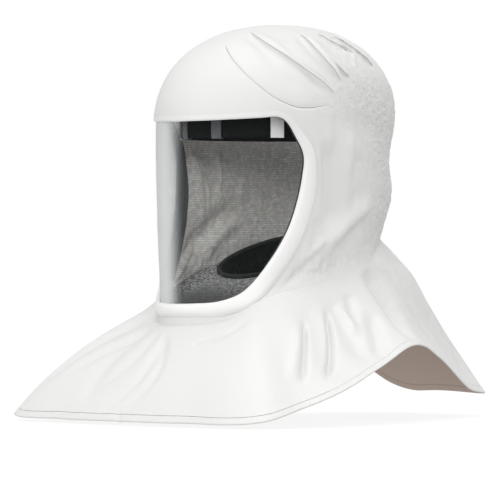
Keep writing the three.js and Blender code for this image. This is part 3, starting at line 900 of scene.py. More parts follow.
@dataclass(frozen=True)
class CoatedCloth(Cloth):
    """Fibres pressed into a sheet and coated: chalky white with a faint satin sheen and a soft mottle.

    Attributes:
        fibre: Width of a bundle of fibres.
        pit: Size of the flecks of painted shade in the hollows of gathered cloth.
        pit_share: Strength of the flecks.
        pit_noise: Noise at which a fleck starts and is full.
        pit_onset: How late the flecks come in as the cloth is gathered.
        painted_haze_least: Least strength of the painted haze where the gather mask is high.
        painted_haze_most: Greatest strength of that painted haze.
        painted_haze_noise: Noise at which the painted haze starts to rise and is strongest.
    """

    fibre: float = 1.8
    pit: float = 1.9
    pit_share: float = 0.7
    pit_noise: Span = (0.5, 0.66)
    pit_onset: float = 4.0
    painted_haze_least: float = 0.12
    painted_haze_most: float = 0.27
    painted_haze_noise: Span = (0.35, 0.65)

    def surface(self, tree: NodeTree) -> Node:
        """Pressed fibres, which are 0.02 mm thick and so drawn as bundles, over a soft crumple.

        Args:
            tree: Node tree of the material.

        Returns:
            The shader node.
        """
        node = partial(add_node, tree)
        place = node("ShaderNodeTexCoord", {}).outputs["Object"]
        gather = node("ShaderNodeAttribute", {}, attribute_name="gather").outputs["Fac"]
        fibres, folds, pits = (
            node("ShaderNodeTexNoise", {"Vector": place, "Scale": cells(size), "Detail": detail})
            for size, detail in ((self.fibre, TEXTURED), (self.crumple, SOFT), (self.pit, TEXTURED))
        )
        deep, painted_haze_strength = (
            node(
                "ShaderNodeMapRange",
                {"Value": value, "From Min": low, "From Max": high, "To Min": least, "To Max": most},
            )
            for value, (low, high), least, most in (
                (pits, self.pit_noise, 0.0, self.pit_share),
                (folds, self.painted_haze_noise, self.painted_haze_least, self.painted_haze_most),
            )
        )
        # Flecks and haze of the second tone are painted shade in the hollows of gathered cloth and on the
        # rear flap; on the piping the haze is a painted highlight.
        tight = node("ShaderNodeMath", {0: gather, 1: self.pit_onset}, operation="POWER")
        flecks = node("ShaderNodeMath", {0: deep, 1: tight}, operation="MULTIPLY")
        haze = node("ShaderNodeMath", {0: painted_haze_strength, 1: gather}, operation="MULTIPLY")
        hidden = node("ShaderNodeMath", {0: flecks, 1: haze}, operation="MAXIMUM")
        return self.shaded(tree, fibres, folds, hidden)


@dataclass(frozen=True)
class WovenCloth(Cloth):
    """Plain weave: level threads that show as fine bands, broken where the yarn is uneven.

    Attributes:
        pitch: Distance from one band of threads to the next.
        unevenness: How far the bands stray.
        slub: Size of the patches in which the bands show.
        slub_noise: Noise at which a patch starts and is full.
        painted_patch: Size of a patch of the painted second tone where the gather mask is high.
        painted_patch_noise: Noise at which a patch starts and is full.
        painted_patch_share: Strength of the patches.
    """

    second: str = "#adaca9"
    depth: float = 0.12
    crumple: float = 7.0
    crumple_depth: float = 0.2
    sheen: float = 0.05
    pitch: float = 2.6
    unevenness: float = 1.6
    slub: float = 6.0
    slub_noise: Span = (0.36, 0.64)
    painted_patch: float = 2.6
    painted_patch_noise: Span = (0.4, 0.64)
    painted_patch_share: float = 0.8

    def surface(self, tree: NodeTree) -> Node:
        """Bands of thread; real threads are 0.4 mm thick and are drawn in bundles so that they show.

        Args:
            tree: Node tree of the material.

        Returns:
            The shader node.
        """
        node = partial(add_node, tree)
        place = node("ShaderNodeTexCoord", {}).outputs["Object"]
        gather = node("ShaderNodeAttribute", {}, attribute_name="gather").outputs["Fac"]
        threads = node(
            "ShaderNodeTexWave",
            {"Vector": place, "Scale": bands(self.pitch), "Distortion": self.unevenness, "Detail": SOFT},
            bands_direction="Z",
        ).outputs["Fac"]
        slubs, fibres, folds = (
            node("ShaderNodeTexNoise", {"Vector": place, "Scale": cells(size), "Detail": detail})
            for size, detail in ((self.slub, TEXTURED), (self.painted_patch, RAGGED), (self.crumple, RAGGED))
        )
        patchy, painted_patches = (
            node("ShaderNodeMapRange", {"Value": value, "From Min": low, "From Max": high, "To Max": most})
            for value, (low, high), most in (
                (slubs, self.slub_noise, 1.0),
                (fibres, self.painted_patch_noise, self.painted_patch_share),
            )
        )
        weave = node("ShaderNodeMath", {0: threads, 1: patchy}, operation="MULTIPLY")
        # Patches of the second tone where the gather mask is high: painted shade in the crinkles of the
        # gathered lining, painted highlight on the collar.
        loose = node("ShaderNodeMath", {0: painted_patches, 1: gather}, operation="MULTIPLY")
        return self.shaded(tree, weave, folds, loose)


@dataclass(frozen=True)
class ClearFilm(Finish):
    """Pressed clear sheet: nearly invisible where it faces the eye, glossy where it turns away, with a pale
    painted reflection there.

    Attributes:
        facing: Cover where the sheet faces the eye.
        grazing: Cover where it turns away.
        clear_to: Slant up to which it stays clear.
        full_from: Slant from which the cover is full.
        index: Index of refraction.
    """

    facing: float = 0.002
    grazing: float = 0.7
    clear_to: float = 0.2
    full_from: float = 0.6
    index: float = 1.49

    def surface(self, tree: NodeTree) -> Node:
        """Thin clear sheet whose pale cover, a painted reflection over its real gloss, rises at a slant.

        Args:
            tree: Node tree of the material.

        Returns:
            The shader node.
        """
        node = partial(add_node, tree)
        # The pale cover that rises at a slant is painted reflection of the bright studio; the gloss on top of
        # it is real.
        cover = node(
            "ShaderNodeMapRange",
            {
                "Value": node("ShaderNodeLayerWeight", {}).outputs["Facing"],
                "From Min": self.clear_to,
                "From Max": self.full_from,
                "To Min": self.facing,
                "To Max": self.grazing,
            },
            interpolation_type="SMOOTHSTEP",
        )
        return node(
            "ShaderNodeBsdfPrincipled",
            {
                "Base Color": linear(self.colour),
                "Roughness": self.roughness,
                "IOR": self.index,
                "Alpha": cover,
            },
        )


@dataclass(frozen=True)
class SpacerMesh(Finish):
    """Knitted mesh over foam: black threads round small round holes, dull all over.

    Attributes:
        hole: Distance from one hole to the next.
        depth: How deep the holes are.
        gloss: Strength of the shine.
        unevenness: How far the holes stray from even rows.
    """

    hole: float = 2.6
    depth: float = 0.35
    gloss: float = 0.15
    unevenness: float = 0.35

    def surface(self, tree: NodeTree) -> Node:
        """Holes of the mesh as cells; real holes are 1.2 mm apart and are drawn coarser so that they show.

        Args:
            tree: Node tree of the material.

        Returns:
            The shader node.
        """
        node = partial(add_node, tree)
        place = node("ShaderNodeTexCoord", {}).outputs["Object"]
        holes = node(
            "ShaderNodeTexVoronoi",
            {"Vector": place, "Scale": cells(self.hole), "Randomness": self.unevenness},
            feature="SMOOTH_F1",
        ).outputs["Distance"]
        tone = node(
            "ShaderNodeMix",
            {MIX_SHARE: holes, MIX_FIRST: linear(self.shade), MIX_SECOND: linear(self.colour)},
            data_type="RGBA",
        )
        return node(
            "ShaderNodeBsdfPrincipled",
            {
                "Base Color": tone.outputs[MIX_RESULT],
                "Roughness": self.roughness,
                "IOR": TYPICAL_IOR,
                "Specular IOR Level": self.gloss,
                "Normal": node("ShaderNodeBump", {"Height": holes, "Distance": self.depth * MM}),
            },
        )


@dataclass(frozen=True)
class StudioFloor(Finish):
    """Matt paper sweep that gives back most of the studio light, so that only a faint shadow shows.

    Attributes:
        glow: Light that the paper throws on the piece.
        glow_seen: Light of the paper where the camera sees it.
    """

    glow: float = 0.52
    glow_seen: float = 0.88

    def surface(self, tree: NodeTree) -> Node:
        """Plain paper that looks lit from behind but throws less light up at the piece.

        Args:
            tree: Node tree of the material.

        Returns:
            The shader node.
        """
        node = partial(add_node, tree)
        seen = node("ShaderNodeLightPath", {}).outputs["Is Camera Ray"]
        glow = node("ShaderNodeMapRange", {"Value": seen, "To Min": self.glow, "To Max": self.glow_seen})
        return node(
            "ShaderNodeBsdfPrincipled",
            {
                "Base Color": linear(self.colour),
                "Roughness": self.roughness,
                "Specular IOR Level": 0.0,
                "Emission Color": linear(self.shade),
                "Emission Strength": glow,
            },
        )


# Calendering presses the fibres flat and the coat evens them out: chalky white, satin at a slant, with grey
# flecks and haze of painted shade where it is gathered.
WHITE_CLOTH = CoatedCloth("non-woven cloth, calendered and coated", "#dddddc", "#d8d8d7", 0.55)
# The same cloth over a cord: a smooth roll, made brighter round cheeks and chin by a painted highlight.
PIPING_CLOTH = CoatedCloth(
    "coated cloth, turned and pressed over a cord",
    "#e1e1e0",
    "#dededd",
    0.5,
    second="#f8f8f7",
    pit_share=0.0,
    painted_haze_least=0.42,
    painted_haze_most=0.42,
)
# Dull yarn in a plain weave: level bands of grey that turn patchy, with darker patches of painted shade where
# the cloth is gathered.
GREY_LINING = WovenCloth("lining cloth, woven grey", "#e9e8e5", "#b8b7b4", 0.8, crumple_depth=1.6)
# Bare fibre without the coat: dull and warm, with no shine; its darker second tone is painted shade on the
# rear flap.
TAN_BACKING = CoatedCloth("non-woven cloth, uncoated back", "#c8b7ab", "#bcaba0", 0.8, second="#a5948a")
# Pressed between polished plates: clear where it faces the eye, glossy where it turns away, where a pale
# cover is painted reflection.
FILM = ClearFilm("clear sheet, pressed and glossy", "#dde0e0", "#dde0e0", 0.04)
# Calendered cloth with a low, even shine; the tape is real, its dark grey is painted shade for the inner face
# of the band round the window.
TAPE = WovenCloth("cloth-backed tape, calendered", "#5c6063", "#4b4f52", 0.5, pitch=3.2, depth=0.05)
# Dark cloth with a pale, patchy painted highlight towards the neck hole and the back.
COLLAR = WovenCloth(
    "collar cloth, woven and brushed",
    "#5f6060",
    "#4b4c4c",
    0.85,
    second="#b9baba",
    pitch=3.0,
    depth=0.1,
    gloss=0.2,
    crumple_depth=0.6,
)
# A knitted edge rolled on itself: dull, a little lighter than the ribs because it catches the light.
LIP = WovenCloth("rib knit, rolled and brushed", "#363838", "#282a2a", 0.9, pitch=1.8, depth=0.1, gloss=0.15)
# Elastic ribs swallow the light between them: nearly black.
KNIT = WovenCloth("rib knit, elastic", "#26292a", "#1a1d1d", 0.9, pitch=1.8, depth=0.1, gloss=0.1)
# Thread knitted over dark foam: black, with small holes that give no light back.
MESH = SpacerMesh("spacer mesh, knitted over foam", "#1c2020", "#0c0f0f", 0.85)
# Filament yarn woven flat: bright, with fine level ribs.
WEBBING = WovenCloth("tape, flat woven", "#fafafa", "#f0f0f0", 0.7, pitch=1.6, depth=0.1)
# Elastic covered with grey yarn: even, with a faint shine.
LOOP = WovenCloth("elastic loop, woven grey", "#6c6f70", "#55585a", 0.75, pitch=1.4, depth=0.1)
# Two plies twisted tight: a row of small bright dashes.
THREAD = CoatedCloth("sewing thread, twisted", "#e4e4e2", "#dcdcda", 0.6, fibre=0.8)
# Uncoated paper: even and matt.
FLOOR = StudioFloor("paper sweep, matt white", "#6a6a6a", "#ffffff", 0.9)


def dress(piece: Object, nodes: Sequence[str], slot: str, *finishes: Finish) -> Object:
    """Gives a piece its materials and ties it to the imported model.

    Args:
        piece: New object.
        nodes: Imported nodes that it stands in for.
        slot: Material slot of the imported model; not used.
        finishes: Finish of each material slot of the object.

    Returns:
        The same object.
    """
    for finish in finishes:
        piece.data.materials.append(finish.material())
    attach(piece, "root")
    if nodes:
        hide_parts(*nodes)
    LOG.info("%s: %d faces", piece.name, len(piece.data.polygons))
    return piece


# Cloth pattern shared by the pieces

HEAD_LINES = (
    Fold((20, 98), (58, 69), (87, 22), 5.0, 13, FoldKind.TUCK, side=1),
    Fold((46, 86), (68, 58), (88, 22), 4.0, 12, FoldKind.TUCK, side=-1),
    Fold((71, 95), (79, 72), (90, 38), 5.5, 12, FoldKind.TUCK),
    Fold((84, 68), (89, 57), (95, 45), 3.4, 6, FoldKind.TUCK),
    Fold((90, 96), (97, 86), (105, 76), 3.4, 6, FoldKind.TUCK),
    Fold((98, 94), (103, 84), (108, 72), 2.8, 5, FoldKind.TUCK),
    Fold((106, 94), (112, 79), (121, 58), 4.5, 10, FoldKind.TUCK),
    Fold((150, 97), (148, 72), (144, 36), 3.0, 13),
    Fold((37, 84), (52, 60), (69, 22), 2.0, 8),
    Fold((52, 84), (66, 62), (80, 28), 1.8, 7),
    Fold((80, -18), (83, -70), (86, -124), 6.0, 11),
    Fold((92, -6), (94, -50), (97, -92), -3.0, 10),
    Fold((113, -86), (92, -115), (66, -162), -6.0, 12),
    Fold((110, -101), (97, -122), (84, -146), 6.0, 8),
    Fold((84, -128), (72, -156), (54, -196), 3.4, 5),
    Fold((100, -30), (97, -62), (99, -92), 2.4, 7),
    Fold((72, -100), (76, -122), (72, -146), 2.6, 6),
)

LINING_LINES = (
    Fold((-97, -14), (-98.5, -45), (-97, -84), -2.4, 2.2, side=1),
    Fold((-86.5, -42), (-90, -37), (-95, -29), -1.8, 2.0, side=1),
    Fold((-92, -60), (-91, -85), (-93, -112), -1.6, 2.6, side=1),
    Fold((-112, -58), (-109, -80), (-113, -106), -1.8, 3.0, side=1),
    Fold((-121, -34), (-118, -60), (-122, -90), -1.6, 3.0, side=1),
)

BIB_LINES = (
    Fold((65, 0.26), (58, 0.56), (53, 0.84), 6.5, 3.4),
    Fold((68, 0.12), (65, 0.5), (62, 0.92), 3.0, 16),
    Fold((61, 0.3), (55, 0.56), (50, 0.8), -2.0, 6),
    Fold((77, 0.22), (69, 0.56), (59, 0.88), 7.5, 3.8),
    Fold((82, 0.12), (79, 0.5), (74, 0.95), 4.0, 14),
    Fold((81, 0.22), (83, 0.4), (79, 0.6), -4.0, 6),
    Fold((90, 0.16), (88, 0.32), (84, 0.5), 3.4, 6),
    Fold((96, 0.42), (88, 0.7), (80, 0.95), 6.0, 9),
    Fold((107, 0.0), (109, 0.45), (101, 0.97), 8.0, 10),
    Fold((118, 0.1), (126, 0.45), (132, 0.9), 3.5, 12),
    Fold((140, 0.1), (146, 0.5), (150, 0.95), -5.0, 20),
    Fold((36, 0.05), (38, 0.4), (40, 0.85), 4.0, 11, side=-1),
    Fold((22, 0.05), (20, 0.45), (16, 0.9), 3.5, 12, side=-1),
    Fold((-4, 0.08), (2, 0.5), (-10, 0.98), 3.0, 7, side=1),
    Fold((-6, 0.04), (8, 0.5), (-3, 0.95), 2.6, 6, side=1),
    Fold((-12, 0.04), (-8, 0.4), (-20, 0.85), 2.4, 7, side=1),
    Fold((-22, 0.04), (-26, 0.3), (-34, 0.7), 3.0, 7, side=1),
    Fold((18, 0.25), (25, 0.235), (34, 0.2), 4.5, 2.8, side=1),
    Fold((-1, 0.88), (1, 0.97), (3, 1.06), 1.5, 2.4, side=1),
    Fold((24, 0.28), (34, 0.2), (46, 0.12), 2.4, 7, side=1),
    Fold((108, 0.16), (138, 0.24), (172, 0.2), -5.5, 36),
    Fold((112, 0.42), (140, 0.46), (172, 0.42), -3.5, 36),
)


@dataclass
class HoodPattern:
    """Lines and surfaces that the cloth pieces share."""

    cloth: float = 1.5
    slit: float = 0.25
    closed: float = 0.02
    seam_opens: Span = (14.0, 20.0)
    seam_closes: Span = (68.0, 86.0)
    brow_band: float = 6.0
    cheek_band: float = 21.0
    chin_band: float = 14.0
    band_wide: float = 0.52
    band_narrows: float = 0.58
    corner: float = 118.0
    brow_end: float = 0.41
    cheek_end: float = 0.64
    jaw: float = 140.0
    jaw_run: float = 0.72
    brow_steps: float = 16.0
    side_steps: float = 12.0
    chin_steps: float = 20.0
    crease_depth: float = 2.0
    crease_width: float = 3.4
    crease_starts: Span = (0.32, 0.46)
    flare: float = 5.0
    flare_above: float = 22.0
    flare_below: float = 30.0
    flare_starts: Span = (28.0, 52.0)
    flare_ends: Span = (110.0, 134.0)
    gather: float = 2.0
    gather_spot: Spot = (87.0, 22.0)
    gather_from: float = 84.0
    gather_forward: float = 24.0
    gather_span: float = 40.0
    gather_rises: Span = (-30.0, 30.0)
    gather_ends: Span = (34.0, 80.0)
    crinkle_fine: float = 0.9
    crinkle_broad: float = 1.0
    broad_level: float = 0.4
    wrinkle: float = 1.8
    neck_wrinkle: float = 1.4
    ear_spot: Spot = (88.0, 24.0)
    ear_ends: Span = (-20.0, 20.0)
    neck_side: Spot = (84.0, 18.0)
    neck_height: Spot = (-152.0, 28.0)
    crown_side: Spot = (104.0, 17.0)
    crown_height: Spot = (74.0, 17.0)
    calm_beside: float = 14.0
    calm_above: float = 14.0
    calm_below: float = 0.1
    ripple: Crumple = Crumple((8.0, 1.0, 1.0), 3.7)
    fine: Crumple = Crumple((3.6, 3.6, 2.8))
    broad: Crumple = Crumple((13.0, 13.0, 10.0), 5.3)
    streaks: Crumple = Crumple((11.0, 11.0, 46.0), 1.9)
    crumple: Crumple = Crumple((5.0, 5.0, 8.0), 8.4)

    def __post_init__(self) -> None:
        """Prepares the shared lines, forms and folds."""
        self.head = HeadForm()
        self.neck = curve_of(NECK_LINE, "angle", "height")
        self.crown_seam = curve_of(CROWN_SEAM, "angle", "height")
        self.side_seam = curve_of(SIDE_SEAM, "share", "angle", False)
        self.flat = FlatLayout(self.head)
        self.window = WindowLine(WINDOW)
        self.bib = BibForm(self.head, self.neck)
        self.head_folds = FoldSet(HEAD_LINES, self.head.point)
        self.lining_folds = FoldSet(LINING_LINES, self.head.point)
        self.bib_folds = FoldSet(BIB_LINES, self.bib.point)
        self.seam_top = SIDE_SEAM[0].angle
        self.seam_foot = SIDE_SEAM[-1].angle
        self.half_steps = self.brow_steps + self.side_steps + self.chin_steps

    def past_corner(self, run: Grid) -> Grid:
        """Share of the way from the window's upper corner to where its band is widest."""
        return smoothstep(np.abs(run), self.corner / self.window.length, self.band_wide)

    def band_width(self, run: Grid) -> Grid:
        """Width of the band round the window."""
        wide = self.brow_band + (self.cheek_band - self.brow_band) * self.past_corner(run)
        return wide + (self.chin_band - wide) * smoothstep(np.abs(run), self.band_narrows, 1.0)

    def seam_shown(self, angle: Grid) -> Grid:
        """Share to which the crown seam stands open; towards the back it is hidden among the folds."""
        return between(np.abs(angle), self.seam_opens, self.seam_closes)

    def seam_gap(self, angle: Grid) -> Grid:
        """Half the width of the crown seam's slit."""
        return self.closed + (self.slit - self.closed) * self.seam_shown(angle)

    def crease(self, run: Grid) -> Grid:
        """Depth of the crease along the outer edge of the band, which is level with the cloth at the brow."""
        return self.crease_depth * smoothstep(np.abs(run), *self.crease_starts)

    def side_height(self, share: Grid) -> Grid:
        """Height of the seam between side and back at a share of its way down."""
        top, foot = self.crown_seam(self.seam_top), self.neck(self.seam_foot)
        return top + (foot - top) * share

    def run_at(self, step: Grid) -> Grid:
        """Share of the window outline that faces a step along the front's outer seam.

        Args:
            step: Steps along the seam from the brow's middle to the chin's.

        Returns:
            Shares of the way along the outline.
        """
        brow, side, chin = self._shares(step)
        top, foot = self.flat.across(self.seam_top), self.flat.across(self.seam_foot)
        corner = self.corner / self.window.length
        over = np.clip((brow * top - self.corner) / (top - self.corner), 0.0, 1.0)
        brow_run = np.minimum(brow * top / self.window.length, corner) + (self.brow_end - corner) * over
        side_run = self.brow_end + (self.cheek_end - self.brow_end) * side
        across = (1.0 - chin) * foot
        jaw = 1.0 + (self.jaw_run - 1.0) * np.minimum(across / self.jaw, 1.0)
        past = np.clip((across - self.jaw) / (foot - self.jaw), 0.0, 1.0)
        chin_run = jaw + (self.cheek_end - self.jaw_run) * past
        return self._by_zone(step, brow_run, side_run, chin_run)

    def edge_at(self, step: Grid) -> tuple[Grid, Grid]:
        """Outer seam of the front on the flat layout.

        Args:
            step: Steps along the seam from the brow's middle to the chin's.

        Returns:
            Distances across and heights.
        """
        brow, side, chin = self._shares(step)
        top, foot = self.flat.across(self.seam_top), self.flat.across(self.seam_foot)
        brow_angle, chin_angle = self.flat.angle(brow * top), self.flat.angle((1.0 - chin) * foot)
        beside = self.flat.across(self.side_seam(side))
        across = self._by_zone(step, brow * top, beside, (1.0 - chin) * foot)
        upper = self.crown_seam(brow_angle) - self.seam_gap(brow_angle)
        lower = self.neck(chin_angle) + self.closed
        return across, self._by_zone(step, upper, self.side_height(side), lower)

    def _shares(self, step: Grid) -> tuple[Grid, ...]:
        """Shares of the way along brow, side and chin at a step."""
        ends = np.cumsum([0.0, self.brow_steps, self.side_steps, self.chin_steps])
        return tuple(np.clip((step - low) / (high - low), 0.0, 1.0) for low, high in zip(ends, ends[1:]))

    def _by_zone(self, step: Grid, brow: Grid, side: Grid, chin: Grid) -> Grid:
        """Value of the zone, brow, side or chin, that each step lies in."""
        last = self.brow_steps + self.side_steps
        return np.select([step <= self.brow_steps, step <= last], [brow, side], chin)

    def neck_swell(self, angle: Grid) -> Grid:
        """How far the cloth stands out at the neck line, with the gathers of the seam.

        Args:
            angle: Angles along the neck line.

        Returns:
            Distances outward.
        """
        place = np.abs(angle)
        flare = self.flare * between(place, self.flare_starts, self.flare_ends)
        return flare + self.gather * hump(place, *self.gather_spot) * self.ripple.along(angle)

    def gathered(self, angle: Grid, height: Grid) -> Grid:
        """How tightly the cloth is gathered, towards the back of the head.

        Args:
            angle: Angles of the places.
            height: Their heights.

        Returns:
            Shares from 0 to 1.
        """
        start = self.gather_from - self.gather_forward * smoothstep(height, *self.gather_rises)
        drawn = smoothstep(np.abs(angle) - start, 0.0, self.gather_span)
        return drawn * (1.0 - smoothstep(height, *self.gather_ends))

    def crinkle(self, points: Grid, angle: Grid, height: Grid) -> Grid:
        """Fine crumple of the gathered cloth."""
        broad = self.crinkle_broad * (self.broad_level - np.abs(self.broad.at(points)))
        return self.gathered(angle, height) * (self.crinkle_fine * self.fine.at(points) + broad)

    def slack(self, points: Grid, angle: Grid, height: Grid) -> Grid:
        """Soft upright wrinkles of the loose cloth over the ears, and a finer crumple at neck and crown.

        Args:
            points: Places on the head.
            angle: Their angles.
            height: Their heights.

        Returns:
            Distances outward.
        """
        place = np.abs(angle)
        ear = hump(place, *self.ear_spot) * (1.0 - smoothstep(height, *self.ear_ends))
        neck = hump(place, *self.neck_side) * hump(height, *self.neck_height)
        crown = hump(place, *self.crown_side) * hump(height, *self.crown_height)
        crumple = (self.neck_wrinkle * neck + crown) * self.crumple.at(points)
        return self.wrinkle * (ear * self.streaks.at(points) + crumple)

    def beyond_band(self, distance: Grid) -> Grid:
        """Share to which folds show at a distance beyond the band, which keeps the cloth beside it smooth."""
        return smoothstep(distance, 0.0, self.calm_beside)

    def above_neck(self, angle: Grid, height: Grid) -> Grid:
        """Height above the neck line, or 0 below it."""
        return np.maximum(height - self.neck(np.abs(angle)), 0.0)

    def head_shift(self, angle: Grid, height: Grid) -> Grid:
        """How far folds and crumples move the cloth on the head.

        Args:
            angle: Angles of the places.
            height: Their heights.

        Returns:
            Distances along the normals.
        """
        points, normals = self.head.point(angle, height), self.head.normal(angle, height)
        folds = self.head_folds.shift(points, normals) + self.crinkle(points, angle, height)
        loose = folds + self.slack(points, angle, height)
        return loose * smoothstep(self.above_neck(angle, height), 0.0, self.calm_above)

    def head_wall(self, angle: Grid, height: Grid, extra: Grid, folded: Grid) -> tuple[Grid, Grid]:
        """Outer and inner face of cloth on the head.

        Args:
            angle: Angles of the places.
            height: Their heights.
            extra: Further shift along the normals.
            folded: Share to which the folds show.

        Returns:
            Points of both faces.
        """
        points, normals = self.head.point(angle, height), self.head.normal(angle, height)
        near = np.clip(1.0 - self.above_neck(angle, height) / self.flare_above, 0.0, 1.0) ** 2
        shift = self.head_shift(angle, height) * folded + extra + self.neck_swell(angle) * near
        outer = points + normals * shift[..., None]
        depth = self.cloth + self.lining_folds.shift(points, normals)
        return outer, outer - normals * depth[..., None]

    def bib_wall(self, angle: Grid, share: Grid, extra: Grid, thickness: Grid) -> tuple[Grid, Grid]:
        """Outer and inner face of cloth on the bib.

        Args:
            angle: Angles of the places.
            share: Their shares of the way from neck line to edge.
            extra: Further shift along the normals.
            thickness: Thickness of the cloth.

        Returns:
            Points of both faces.
        """
        points, normals = self.bib.point(angle, share), self.bib.normal(angle, share)
        foot, edge = self.bib.point(angle, 0.0 * share), self.bib.point(angle, 0.0 * share + 1.0)
        below = share * np.linalg.norm(edge - foot, axis=-1)
        folds = self.bib_folds.shift(points, normals) * smoothstep(share, 0.0, self.calm_below)
        near = np.clip(1.0 - below / self.flare_below, 0.0, 1.0) ** 2
        neck_out = self.head.normal(angle, self.neck(np.abs(angle)))
        swell = neck_out * (self.neck_swell(angle) * near)[..., None]
        outer = points + normals * (folds + extra)[..., None] + swell
        return outer, outer - normals * np.broadcast_to(thickness, share.shape)[..., None]


# Sub-assemblies

@dataclass
class CrownPleats:
    """Pleats that lie over the crown, each with a rounded folded edge."""

    pattern: HoodPattern
    edge: float = 0.8
    turned: float = 2.5
    steps: int = 60
    rows: int = 14
    crowding: float = 1.6
    curl_steps: int = 8
    slim: float = 0.15
    taper: float = 0.4
    reach: float = 2.0
    probe: float = 0.5
    highest: float = 0.99
    sink: float = 0.5
    sinks_from: float = 0.7
    end_sink: float = 1.2
    end: float = 0.1
    settle: float = 4.0
    lift: float = 0.2
    tuck: float = 0.3

    def mesh(self) -> Object:
        """Makes all the pleats, on one side or on both.

        Returns:
            The new object.
        """
        walls = []
        for fold in (row for row in HEAD_LINES if row.kind is FoldKind.TUCK):
            outer, inner = self.pleat(fold)
            for side in (float(fold.side),) if fold.side else (1.0, -1.0):
                mirror = np.array([side, 1.0, 1.0])
                walls.append(wall_between(outer * mirror, inner * mirror, looped=False))
        return mesh_object("crown_pleats", walls)

    def sideways(self, at: Grid) -> Grid:
        """Way across a fold on the head.

        Args:
            at: Angles and heights along the fold.

        Returns:
            Change of angle and of height for each millimetre across.
        """
        head, probe = self.pattern.head, self.probe
        angle, height = at.T
        across = unit(np.cross(head.normal(angle, height), np.gradient(head.point(angle, height), axis=0)))
        turn_way = head.point(angle + probe, height) - head.point(angle - probe, height)
        rise_way = head.point(angle, height + probe) - head.point(angle, height - probe)
        ways = np.stack([turn_way, rise_way], axis=-1) / (2.0 * probe)
        return np.stack([np.linalg.lstsq(way, to, rcond=None)[0] for way, to in zip(ways, across)])

    def pleat(self, fold: Fold) -> tuple[Grid, Grid]:
        """One pleat on the left side, from its free edge to where it sinks into the crown.

        Args:
            fold: Line of the free edge, with its height and width.

        Returns:
            Points of its upper and lower face.
        """
        head, edge, first = self.pattern.head, self.edge, self.rows - 1
        t = np.linspace(0.0, 1.0, self.steps)
        inward = np.minimum(t, 1.0 - t)
        slim = self.slim + (1.0 - self.slim) * smoothstep(inward, 0.0, self.taper)
        reach = self.reach * fold.width
        out = reach * np.linspace(1.0, 0.0, self.rows) ** self.crowding
        curl = np.linspace(0.0, math.pi, self.curl_steps)[1:]
        offset = np.concatenate([out, -edge * np.sin(curl), [self.turned]])
        drop = np.concatenate([np.zeros_like(out), edge * (1.0 - np.cos(curl)), [2.0 * edge]])
        spread = offset[:, None] * slim
        at = fold.path(t)
        places = at + spread[..., None] * self.sideways(at)
        angle, height = places[..., 0], np.minimum(places[..., 1], head.crown_height * self.highest)
        points, normals = head.point(angle, height), head.normal(angle, height)
        away = np.maximum(offset, 0.0)[:, None]
        fade = smoothstep(inward, 0.0, FoldSet.FADE)
        over = (1.0 - FoldSet.TUCK_UNDER) * fold.depth * fade * hump(away, 0.0, fold.width)
        ends = 1.0 - smoothstep(inward, 0.0, self.end)
        sink = self.sink * smoothstep(away, self.sinks_from * reach, reach) + self.end_sink * ends
        mirror = np.array([-1.0 if fold.side < 0 else 1.0, 1.0, 1.0])
        base = self.pattern.head_folds.shift(points * mirror, normals * mirror)
        settle = smoothstep(spread, 0.0, self.settle)
        top = base[first] * (1.0 - settle) + base * settle + over + self.lift - sink
        level = top - drop[:, None] * slim
        level[-1] = base[-1] - self.tuck
        outer = points + normals * level[..., None]
        inner = points + normals * (top - edge)[..., None]
        inner[self.rows :] = inner[first]
        return outer, inner


